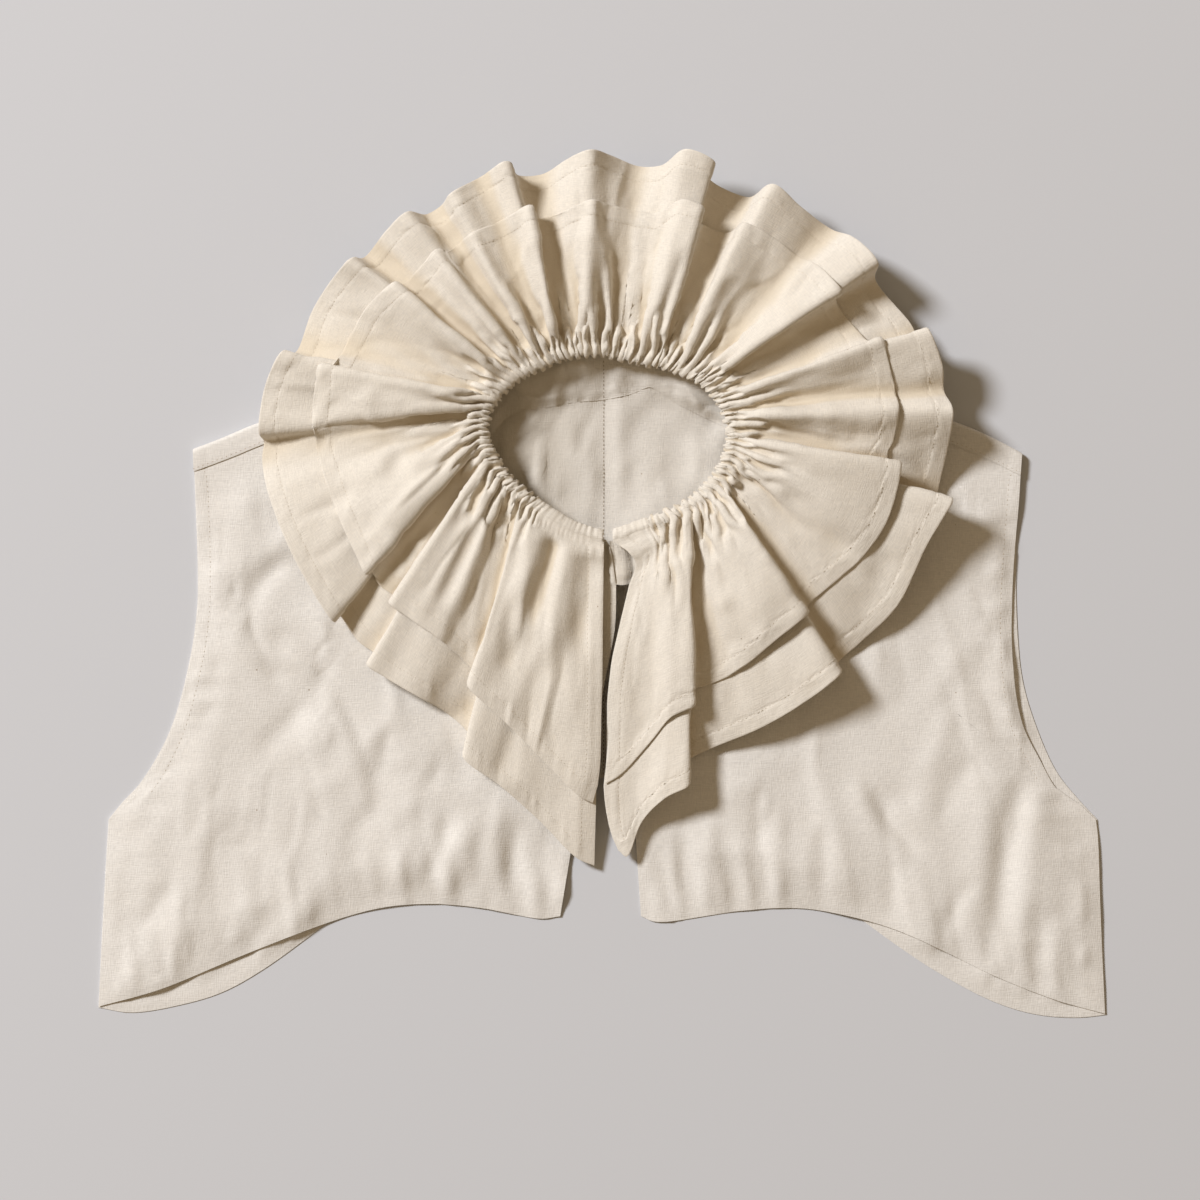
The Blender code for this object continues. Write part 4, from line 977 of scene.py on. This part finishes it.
def back_panel(outline, shoulder_turn, seed):
    """Half back, flat from hem to shoulder, then over the shoulder fold to its seam on the front."""
    neck = neck_edge(np.linspace(NAPE, shoulder_turn, 30), TIER_START)[:, :2]
    neck[0, 0] = outline["hem"][-1][0]
    side = edge_rows(outline["side"], outline["armhole"])
    middle = edge_rows((outline["hem"][-1], tuple(neck[0])), neck)
    shoulder = (*outline["shoulder"][:-1], tuple(neck[-1]))
    plan = patch(side, middle, curve(outline["hem"], PANEL_COLUMNS), curve(shoulder, PANEL_COLUMNS))
    x, y = plan[..., 0], plan[..., 1]
    rumple = rumpled(x, y, seed, BACK_RUMPLE, start=1.9)
    seen = falling(from_centre(plan), 74.0, 16.0)
    rumple = rumple + rumpled(x, y, seed, SEEN_RUMPLE) * seen
    rumple = rumple * (0.06 + 0.94 * smooth_step(to_border(plan, "right") / 9.0))
    rumple = rumple * (0.08 + 0.92 * smooth_step(to_border(plan, "top") / 34.0))
    rumple = 0.5 * (rumple + np.sqrt(rumple ** 2 + 0.9)) - 0.2
    climb = 1.0 - smooth_step(distance_to(plan, BACK_NECK) / BACK_NECK_REACH)
    nape = neck_edge(turn_of(plan))[..., 2] - BACK_BELOW
    height = CLOTH / 2 + (nape - CLOTH / 2) * climb
    height = height + rumple * smooth_step(to_border(plan, "left", "bottom") / 12.0)
    flat = with_height(plan, height)
    sense = math.copysign(10.0, shoulder_turn - NAPE)
    grid = np.concatenate([flat, shoulder_fold(flat[-1], flat[-2], shoulder_turn, sense)])
    return finished_panel(grid, to_border(grid, "left", "bottom"))


def front_height(points, neck, side, back_hem, seed):
    """Middle of a front: over the back, down to the side seam, up to the neck, past the back's hem."""
    x, y = points[..., 0], points[..., 1]
    to_side, to_hem = distance_to(points, side), to_border(points, "bottom")
    to_arm = to_border(points, "left")
    inside = smooth_step(to_side / SIDE_REACH)
    seam = CLOTH * 1.5 + GAP
    height = seam + (FRONT_LIFT - seam) * np.minimum(1.0, (to_side / SIDE_REACH) ** 0.7)
    order = np.argsort(back_hem[:, 0])
    hem_y = np.interp(x, back_hem[order, 0], back_hem[order, 1])
    past = smooth_step((hem_y - y) / DROOP_REACH)
    height = height + (FRONT_FLOOR_LIFT - height) * past * inside
    low = seam - 0.45 * smooth_step((hem_y - y) / 6.0)
    height = low + (height - low) * (0.12 + 0.88 * smooth_step(np.minimum(to_hem, to_arm) / 24.0))
    broad = 0.7 * noise(x + 0.4 * y, y - 0.3 * x, 42.0, seed)
    rumple = rumpled(x, y, seed, FRONT_RUMPLE, start=broad)
    pucker = (np.maximum(2.6 * noise(x + 0.2 * y, 0.10 * y, 7.5, seed + 41) + 0.3, 0.0)
              * np.exp(-(to_hem / 30.0) ** 1.6) * smooth_step(0.15 + to_hem / 14.0)
              + np.maximum(1.3 * noise(0.15 * x, y, 6.0, seed + 43) + 0.2, 0.0)
              * np.exp(-(to_arm / 15.0) ** 1.6) * smooth_step(0.15 + to_arm / 8.0))
    creases = creased(points, PANEL_CREASES) * 1.15
    height = height + (creases + rumple + pucker) * (0.25 + 0.75 * inside)
    near = (1.0 - smooth_step(distance_to(points, neck) / FRONT_NECK_REACH)) ** 1.5
    target = neck_edge(turn_of(points))[..., 2] - FRONT_BELOW
    return np.maximum(height + (target - height) * near, HEM / 2)


def front_panel(outline, neck_line, back, back_hem, seed):
    """Half front from hem to shoulder seam; its shoulder edge is tucked under the back's seam edge."""
    seam, before = back[0][-1], back[0][-2]
    step = seam[:, :2] - before[:, :2]
    step /= np.linalg.norm(step, axis=1, keepdims=True)
    shoulder = seam[:, :2] - step * UNDER_SEAM
    armhole = (*outline["armhole"][:-1], tuple(shoulder[0]))
    neck = [tuple(p) for p in neck_line[:-4, :2]] + [tuple(shoulder[-1])]
    centre = (*outline["centre"][:-1], neck[0])
    plan = patch(edge_rows(outline["side"], armhole), edge_rows(centre, neck),
                 curve(outline["hem"], PANEL_COLUMNS), shoulder)
    grid = with_height(plan, front_height(plan, neck_line, curve(outline["side"], 8), back_hem, seed))
    blend = rising(np.arange(len(grid)), len(grid) - TUCKED_ROWS, 12.0)[:, None]
    grid[..., 2] = grid[..., 2] * (1 - blend) + (seam[None, :, 2] - CLOTH - GAP) * blend
    by_centre = (np.arange(len(grid)) < PANEL_ROWS[0])[:, None]
    to_centre = np.where(by_centre, distance_to(grid, grid[:PANEL_ROWS[0], -1]), FAR)
    return finished_panel(grid, np.minimum(to_border(grid, "left", "bottom"), to_centre))


def facing(backs):
    """Back neck facing: from the nape to its free edge, a little rumpled."""
    columns, rows = 150, 34
    top = neck_edge(np.linspace(*FACING_TURNS, columns), FACING_START)[:, :2]
    v = np.linspace(0.0, 1.0, rows)[:, None, None]
    plan = curve(FACING_EDGE, columns)[None] * (1 - v) + top[None] * v
    x, y = plan[..., 0], plan[..., 1]
    away = smooth_step(v[..., 0] * 3.0)
    rumple = rumpled(x, y, 41, FACING_RUMPLE, start=0.9) * (0.04 + 0.96 * away)
    wall = np.full(x.shape, CLOTH) - 0.14 * (1.0 - smooth_step(v[..., 0] * 9.0))
    under = top_of(backs, plan)
    under = under + (blurred(under, 5) - under) * away
    height = under + wall / 2 + 0.09 + np.maximum(rumple, 0.0)
    return with_height(plan, height), wall, plan, np.full(x.shape, FAR)


def front_tab(height_map):
    """Turned-in end of the neck band at the centre front, held up by the gathered edge."""
    count = 26
    left = curve(((4.6, 1.0), (4.4, 12.0), (4.0, 23.0)), count)
    right = curve(((17.4, 1.8), (18.6, 9.0), (16.6, 17.0), (8.5, 23.6)), count)
    plan = patch(left, right, curve((left[0], (11.0, 0.2), right[0]), count),
                 curve((left[-1], right[-1]), count))
    x, y = plan[..., 0], plan[..., 1]
    inside = to_border(plan, "left", "right", "bottom")
    height = TAB_HEIGHT - 2.2 * rising(x, 11.0, 6.0) + 0.5 * noise(x, y, 7.0, 91)
    height = height + 0.9 * rising(y, 14.0, 8.0) - 0.25 * bell(inside, 2.4, 0.9)
    under = map_read(softened(height_map), plan) + CLOTH / 2 + GAP
    return with_height(plan, np.maximum(height, under)), np.full(x.shape, CLOTH), plan, inside


# ---------------------------------------------------------------- stitches
STITCH_NODES = (
    ("given", "NodeGroupInput"), ("result", "NodeGroupOutput"), ("line", "GeometryNodeMeshToCurve"),
    ("spaced", "GeometryNodeResampleCurve"), ("stitch", "GeometryNodeMeshUVSphere"),
    ("size", "ShaderNodeCombineXYZ"), ("tangent", "GeometryNodeInputTangent"),
    ("aligned", "FunctionNodeAlignRotationToVector"), ("wobble", "FunctionNodeRandomValue"),
    ("turned", "FunctionNodeRotateRotation"), ("placed", "GeometryNodeInstanceOnPoints"),
    ("real", "GeometryNodeRealizeInstances"), ("painted", "GeometryNodeSetMaterial"),
)
STITCH_LINKS = (
    ("given", "Line", "line", "Mesh"), ("line", "Curve", "spaced", "Curve"),
    ("given", "Pitch", "spaced", "Length"), ("spaced", "Curve", "placed", "Points"),
    ("stitch", "Mesh", "placed", "Instance"), ("tangent", "Tangent", "aligned", "Vector"),
    ("given", "Seed", "wobble", "Seed"), ("aligned", "Rotation", "turned", "Rotation"),
    ("wobble", 0, "turned", "Rotate By"), ("turned", "Rotation", "placed", "Rotation"),
    ("given", "Stitch length", "size", "X"), ("given", "Thread width", "size", "Y"),
    ("given", "Thread width", "size", "Z"), ("size", "Vector", "placed", "Scale"),
    ("placed", "Instances", "real", "Geometry"), ("real", "Geometry", "painted", "Geometry"),
    ("given", "Thread", "painted", "Material"), ("painted", "Geometry", "result", "Stitches"),
)
# Sizes of the stitches, in metres: pitch, length, thread width.
HEM_STITCHES = {"Pitch": 0.0023, "Stitch length": 0.0012, "Thread width": 0.00026}
FINE_STITCHES = {"Pitch": 0.0026, "Stitch length": 0.0011, "Thread width": 0.00024}
SEAM_STITCHES = {"Pitch": 0.0021, "Stitch length": 0.0014, "Thread width": 0.00036}
THREAD_LIFT = 0.05        # how far a thread's middle lies above the cloth
SHOULDER_THREAD_LIFT = 0.03


def stitch_tree():
    """Node tree that lays a row of thread stitches along each line of the mesh it is given."""
    tree = bpy.data.node_groups.new("stitch row", "GeometryNodeTree")
    face = tree.interface
    face.new_socket("Line", in_out="INPUT", socket_type="NodeSocketGeometry")
    for label, value in HEM_STITCHES.items():
        face.new_socket(label, in_out="INPUT", socket_type="NodeSocketFloat").default_value = value
    face.new_socket("Seed", in_out="INPUT", socket_type="NodeSocketInt").default_value = 3
    face.new_socket("Thread", in_out="INPUT", socket_type="NodeSocketMaterial")
    face.new_socket("Stitches", in_out="OUTPUT", socket_type="NodeSocketGeometry")
    nodes = {label: tree.nodes.new(kind) for label, kind in STITCH_NODES}
    nodes["spaced"].mode = "LENGTH"
    dialled(nodes["stitch"], {"Segments": 6, "Rings": 4, "Radius": 0.5})
    nodes["aligned"].axis = "X"
    nodes["wobble"].data_type = "FLOAT_VECTOR"
    dialled(nodes["wobble"], {0: (0.0, 0.0, -0.14), 1: (0.0, 0.0, 0.14)})
    for source, result, target, given in STITCH_LINKS:
        tree.links.new(nodes[source].outputs[result], nodes[target].inputs[given])
    return tree


def dialled(node, values):
    """A node with some of its inputs set."""
    for label, value in values.items():
        node.inputs[label].default_value = value
    return node


def stitches(name, lines, tree, thread, sizes=HEM_STITCHES):
    """One object of stitches along lines given in millimetres."""
    points, edges = [], []
    for line in lines:
        first = len(points)
        points.extend(tuple(p) for p in line * MM)
        edges.extend((first + k, first + k + 1) for k in range(len(line) - 1))
    mesh = bpy.data.meshes.new(name + " line")
    mesh.from_pydata(points, edges, [])
    guide = added(name + " line", mesh)
    modifier = guide.modifiers.new("stitches", "NODES")
    modifier.node_group = tree
    keys = {item.name: item.identifier for item in tree.interface.items_tree if item.in_out == "INPUT"}
    for label, value in sizes.items():
        modifier[keys[label]] = value
    modifier[keys["Thread"]] = thread
    bpy.context.view_layer.update()
    evaluated = guide.evaluated_get(bpy.context.evaluated_depsgraph_get())
    final = bpy.data.meshes.new_from_object(evaluated)
    final.name = name
    bpy.data.objects.remove(guide)
    final.polygons.foreach_set("use_smooth", [True] * len(final.polygons))
    return added(name, final)


def first_crossing(points, values, depth):
    """First point along a row at which values pass depth."""
    for k in range(len(values) - 1):
        if values[k] <= depth < values[k + 1]:
            share = (depth - values[k]) / max(values[k + 1] - values[k], 1e-9)
            return points[k] * (1 - share) + points[k + 1] * share
    return None


def line_at(piece, depth, side):
    """Line on the top of a piece at a given distance from its turned edge on one side of its grid."""
    grid, wall, _, edge = piece
    top = grid + upward(grid) * (wall / 2 + THREAD_LIFT)[..., None]
    if side == "top":
        top, edge = top.swapaxes(0, 1), edge.T
    if side != "left":
        top, edge = top[:, ::-1], edge[:, ::-1]
    points = [first_crossing(row, values, depth) for row, values in zip(top, edge)]
    return np.array([point for point in points if point is not None])


# ---------------------------------------------------------------- materials
def shaded(name, roughness):
    """A material, its nodes, its links and its shader."""
    made = bpy.data.materials.new(name)
    made.use_nodes = True
    nodes = made.node_tree.nodes
    shader = dialled(nodes["Principled BSDF"], {"Roughness": roughness})
    return made, nodes, made.node_tree.links.new, shader


def muslin(name, colour, shade, painted_shade_tint, seed):
    """Unbleached cotton muslin: plain weave with slubs, faint blotches and a few dark seed flecks, with
    painted shade mixed in by the hollow attribute.
    """
    made, nodes, link, shader = shaded(name, 0.92)
    dialled(shader, {"Specular IOR Level": 0.18, "Sheen Weight": 0.12, "Sheen Roughness": 0.55})
    where = nodes.new("ShaderNodeUVMap")
    where.uv_map = "cloth"

    def wired(node, values, result):
        """A node's result, with its inputs linked or set."""
        for label, value in values.items():
            if isinstance(value, bpy.types.NodeSocket):
                link(value, node.inputs[label])
            else:
                node.inputs[label].default_value = value
        return node.outputs[result]

    def mapped(scale, offset):
        return wired(nodes.new("ShaderNodeMapping"),
                     {"Vector": where.outputs["UV"], "Scale": scale, "Location": offset}, "Vector")

    def cloud(scale, detail, vector, roughness=0.5):
        return wired(nodes.new("ShaderNodeTexNoise"),
                     {"Scale": scale, "Detail": detail, "Roughness": roughness, "Vector": vector}, "Fac")

    def maths(kind, a, b):
        node = nodes.new("ShaderNodeMath")
        node.operation = kind
        return wired(node, {0: a, 1: b}, "Value")

    def mixed(factor, a, b):
        node = nodes.new("ShaderNodeMix")
        node.data_type = "RGBA"
        return wired(node, {"Factor": factor, 6: a, 7: b}, 2)

    def ramp(value, low, high, start=0.0, end=1.0):
        return wired(nodes.new("ShaderNodeMapRange"), {"Value": value, "From Min": low, "From Max": high,
                                                       "To Min": start, "To Max": end}, "Result")

    plain = mapped((1.0, 1.0, 1.0), (seed * 0.37, seed * 0.11, 0.0))
    warp = cloud(1800.0, 1.0, mapped((1.0, 0.14, 1.0), (seed * 0.3, 0.0, 0.0)))
    weft = cloud(1800.0, 1.0, mapped((0.14, 1.0, 1.0), (0.0, seed * 0.2, 0.0)))
    slub = cloud(700.0, 2.0, mapped((0.07, 1.0, 1.0), (0.3, seed * 0.5, 0.0)))
    threads = maths("ADD", maths("MULTIPLY", warp, 0.5),
                    maths("ADD", maths("MULTIPLY", weft, 0.5), maths("MULTIPLY", slub, 0.2)))
    blotched = mixed(ramp(cloud(34.0, 3.0, plain, 0.6), 0.35, 0.7), (*colour, 1.0), (*shade, 1.0))
    woven = mixed(ramp(threads, 0.45, 0.75), blotched, (*(0.86 * c for c in colour), 1.0))
    fleck = dialled(nodes.new("ShaderNodeTexVoronoi"), {"Scale": 110.0})
    link(plain, fleck.inputs["Vector"])
    spot = ramp(fleck.outputs["Distance"], 0.035, 0.055, 1.0, 0.0)
    chosen = wired(nodes.new("ShaderNodeSeparateColor"), {"Color": fleck.outputs["Color"]}, "Red")
    flecks = maths("MULTIPLY", maths("MULTIPLY", spot, ramp(chosen, 0.86, 0.88)), 0.75)
    flecked = mixed(flecks, woven, (0.30, 0.21, 0.13, 1.0))
    # Painted shade: up to 0.7 of the way to a dimmer, warmer copy of the colour, where the hollow attribute
    # marks folds and the neck hole
    fold = nodes.new("ShaderNodeAttribute")
    fold.attribute_name = "hollow"
    painted_shade_colour = (*(a * b for a, b in zip(colour, painted_shade_tint)), 1.0)
    link(mixed(maths("MULTIPLY", fold.outputs["Fac"], 0.7), flecked, painted_shade_colour),
         shader.inputs["Base Color"])
    weave = maths("ADD", threads, maths("MULTIPLY", cloud(260.0, 2.0, plain), 0.16))
    bump = {"Strength": 0.8, "Distance": 0.00038, "Height": weave}
    link(wired(nodes.new("ShaderNodeBump"), bump, "Normal"), shader.inputs["Normal"])
    return made


def sewing_thread(name, colour):
    """Sewing thread, a little uneven in its colour."""
    made, nodes, link, shader = shaded(name, 0.7)
    cloud = dialled(nodes.new("ShaderNodeTexNoise"), {"Scale": 900.0})
    link(nodes.new("ShaderNodeTexCoord").outputs["Object"], cloud.inputs["Vector"])
    mix = nodes.new("ShaderNodeMix")
    mix.data_type = "RGBA"
    dialled(mix, {6: (*colour, 1.0), 7: (*(0.8 * c for c in colour), 1.0)})
    link(cloud.outputs["Fac"], mix.inputs["Factor"])
    link(mix.outputs[2], shader.inputs["Base Color"])
    return made


# The third colour of each muslin scales its colour into its painted shade.
finishes = {
    "bodice_muslin": muslin("bodice muslin", (0.833, 0.789, 0.722), (0.804, 0.753, 0.678),
                            (0.64, 0.60, 0.53), 1),
    "ruffle_muslin": muslin("ruffle muslin", (0.805, 0.739, 0.637), (0.775, 0.70, 0.588),
                            (0.80, 0.735, 0.62), 2),
}
pale_thread = sewing_thread("pale thread", (0.74, 0.655, 0.53))
tan_thread = sewing_thread("tan thread", (0.62, 0.52, 0.39))
dark_thread = sewing_thread("dark thread", (0.30, 0.22, 0.14))

# ---------------------------------------------------------------- making the garment
left_back = back_panel(LEFT_BACK, SHOULDER_TURNS[0], seed=51)
right_back = back_panel(RIGHT_BACK, SHOULDER_TURNS[1], seed=55)
backs = (left_back, right_back)
back_map = laid_down(np.full(MAP_SHAPE, NOTHING), *(rows_of(back, 0, FLAT_ROWS - 3) for back in backs))
neck_facing = facing([rows_of(back, 0, FLAT_ROWS) for back in backs])
back_hem = np.vstack([curve(LEFT_BACK["hem"], 40), curve(RIGHT_BACK["hem"], 40)])
left_front, right_front = fronts = [
    lying_on(back_map, front_panel(outline, neck, back, back_hem, seed), kept_rows=TUCKED_ROWS)
    for outline, neck, back, seed in ((LEFT_FRONT, LEFT_NECK, left_back, 61),
                                      (RIGHT_FRONT, RIGHT_NECK, right_back, 67))]
panel_map = laid_down(back_map, neck_facing, *backs, *fronts)
tab = front_tab(panel_map)
panel_map = laid_down(panel_map, tab)
lower = tier(panel_map, seed=71, rolled=False, hem_column=LOWER_HEM, start=TIER_START, below=LOWER_BELOW,
             growth=LOWER_GROWTH, bump=0.4, swings=(LOWER_LEFT_SWING, LOWER_RIGHT_SWING), dents=LOWER_DENTS)
lower_map = laid_down(panel_map, lower)
upper = tier(lower_map, seed=81, rolled=True, hem_column=UPPER_HEM, start=UPPER_START, below=UPPER_BELOW,
             growth=UPPER_GROWTH, bump=2.3, swings=(UPPER_LEFT_SWING, UPPER_RIGHT_SWING), dents=UPPER_DENTS)
band, upper = rows_of(upper, 0, len(RING)), rows_of(upper, len(RING) - 1)

# The centre back seam's stitches run just beside the seam, on the facing and on the back below it.
seam = np.column_stack([np.full(90, 0.9), np.linspace(131.0, -98.0, 90)])
seam_top = np.maximum(top_at(neck_facing, seam), top_at(left_back, seam, reach=9.0))
tab_line = curve(((5.6, 20.6), (9.6, 19.4), (12.8, 16.4), (14.6, 11.5), (14.8, 5.5), (14.4, 2.2)), 30)
shoulder_seams = [(back[0][-3], back[1][-3]) for back in backs]
CLOTHS = {
    # piece: cloth, slot, solid it replaces, flat width and length, flat area, how it is held, what it
    # rests on, stitches on it
    "half_back_left": (left_back, "bodice_muslin", "back_left", (0.27, 0.36), 0.068, "laid",
                       ["neck_facing"], ["stitches_centre_back"]),
    "half_back_right": (right_back, "bodice_muslin", "back_right", (0.27, 0.36), 0.068, "laid",
                        ["neck_facing"], ["stitches_shoulders"]),
    "neck_facing": (neck_facing, "bodice_muslin", "back_neck_facing", (0.035, 0.16), 0.0035, "laid",
                    ["half_back_left", "half_back_right"], []),
    "half_front_left": (left_front, "bodice_muslin", "front_left", (0.26, 0.34), 0.060, "laid",
                        ["half_back_left"], ["stitches_armholes"]),
    "half_front_right": (right_front, "bodice_muslin", "front_right", (0.26, 0.34), 0.060, "laid",
                         ["half_back_right"], []),
    "front_tab": (tab, "ruffle_muslin", None, (0.016, 0.024), 0.0003, "laid",
                  ["half_front_right"], ["stitches_front_tab"]),
    "ruffle_long": (lower, "ruffle_muslin", "ruffle_lower", (0.15, 1.5), 0.12, "gathered",
                    ["half_front_left", "half_front_right"], ["stitches_ruffle_long"]),
    "ruffle_short": (upper, "ruffle_muslin", "ruffle_upper", (0.11, 1.3), 0.085, "gathered",
                     ["ruffle_long"], ["stitches_ruffle_short"]),
    "gathered_band": (band, "ruffle_muslin", "neck_casing", (0.02, 0.5), 0.008, "gathered",
                      ["ruffle_short"], []),
}
STITCHINGS = {
    # piece: lines, slot, thread, sizes
    "stitches_ruffle_long": ([line_at(lower, RUFFLE_HEM, side) for side in ("top", "left", "right")],
                             "ruffle_muslin", pale_thread, HEM_STITCHES),
    "stitches_ruffle_short": ([line_at(upper, RUFFLE_HEM, side) for side in ("top", "left", "right")],
                              "ruffle_muslin", pale_thread, HEM_STITCHES),
    "stitches_front_tab": ([with_height(tab_line, top_at(tab, tab_line) + THREAD_LIFT)],
                           "ruffle_muslin", pale_thread, HEM_STITCHES),
    "stitches_shoulders": ([with_height(grid[:, :2], grid[:, 2] + wall / 2 + SHOULDER_THREAD_LIFT)
                            for grid, wall in shoulder_seams],
                           "bodice_muslin", tan_thread, FINE_STITCHES),
    "stitches_armholes": ([line_at(rows_of(front, PANEL_ROWS[0], FLAT_ROWS), BODICE_HEM, "left")
                           for front in fronts],
                          "bodice_muslin", tan_thread, FINE_STITCHES),
    "stitches_centre_back": ([with_height(seam, seam_top + THREAD_LIFT)],
                             "bodice_muslin", dark_thread, SEAM_STITCHES),
}
tree = stitch_tree()
pieces = {name: shell(name, cloth, finishes[slot]) for name, (cloth, slot, *_) in CLOTHS.items()}
pieces.update({name: stitches(name, lines, tree, thread, sizes)
               for name, (lines, _, thread, sizes) in STITCHINGS.items()})
for name, piece in pieces.items():
    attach(piece, "root")
for name, (_, _, node, *_) in CLOTHS.items():
    if node:
        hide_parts(node)


# ---------------------------------------------------------------- floor, light and camera, in metres
def aimed(name, data, place, target):
    """New object of the scene, placed and turned to face a point."""
    made = added(name, data)
    made.location = place
    made.rotation_euler = (Vector(target) - Vector(place)).to_track_quat("-Z", "Y").to_euler()
    return made


FLOOR_HALF = 4
VIEW_CENTRE = (-0.00104, -0.00754)
CAMERA_HEIGHT = 2.6
FRAME_WIDTH, FRAME_AWAY = 0.624, 2.59     # what the frame spans, and at what distance
SENSOR = 36.0

floor_mesh = bpy.data.meshes.new("floor")
floor_mesh.from_pydata([(x * FLOOR_HALF, y * FLOOR_HALF, 0) for x, y in ((-1, -1), (1, -1), (1, 1), (-1, 1))],
                       [], [(0, 1, 2, 3)])
floor = added("floor", floor_mesh)
pale, _, _, pale_shader = shaded("pale floor", 0.9)
dialled(pale_shader, {"Base Color": (0.62, 0.62, 0.63, 1.0)})
floor_mesh.materials.append(pale)

key = bpy.data.lights.new("soft window", "AREA")
key.shape, key.size, key.energy, key.color = "DISK", 1.65, 570.0, (0.975, 1.0, 1.06)
aimed("soft window", key, (-4.55, 3.20, 4.70), (0.0, 0.0, 0.0))
world = bpy.data.worlds.new("room")
world.use_nodes = True
dialled(world.node_tree.nodes["Background"], {"Color": (1.0, 0.77, 0.50, 1.0), "Strength": 0.272})
bpy.context.scene.world = world
bpy.context.scene.view_settings.view_transform = "Standard"

lens = bpy.data.cameras.new("camera")
lens.sensor_fit, lens.sensor_width = "HORIZONTAL", SENSOR
lens.lens = SENSOR * FRAME_AWAY / FRAME_WIDTH
lens.clip_end = 20.0
camera = added("camera", lens)
camera.location = (*VIEW_CENTRE, CAMERA_HEIGHT)
bpy.context.scene.camera = camera
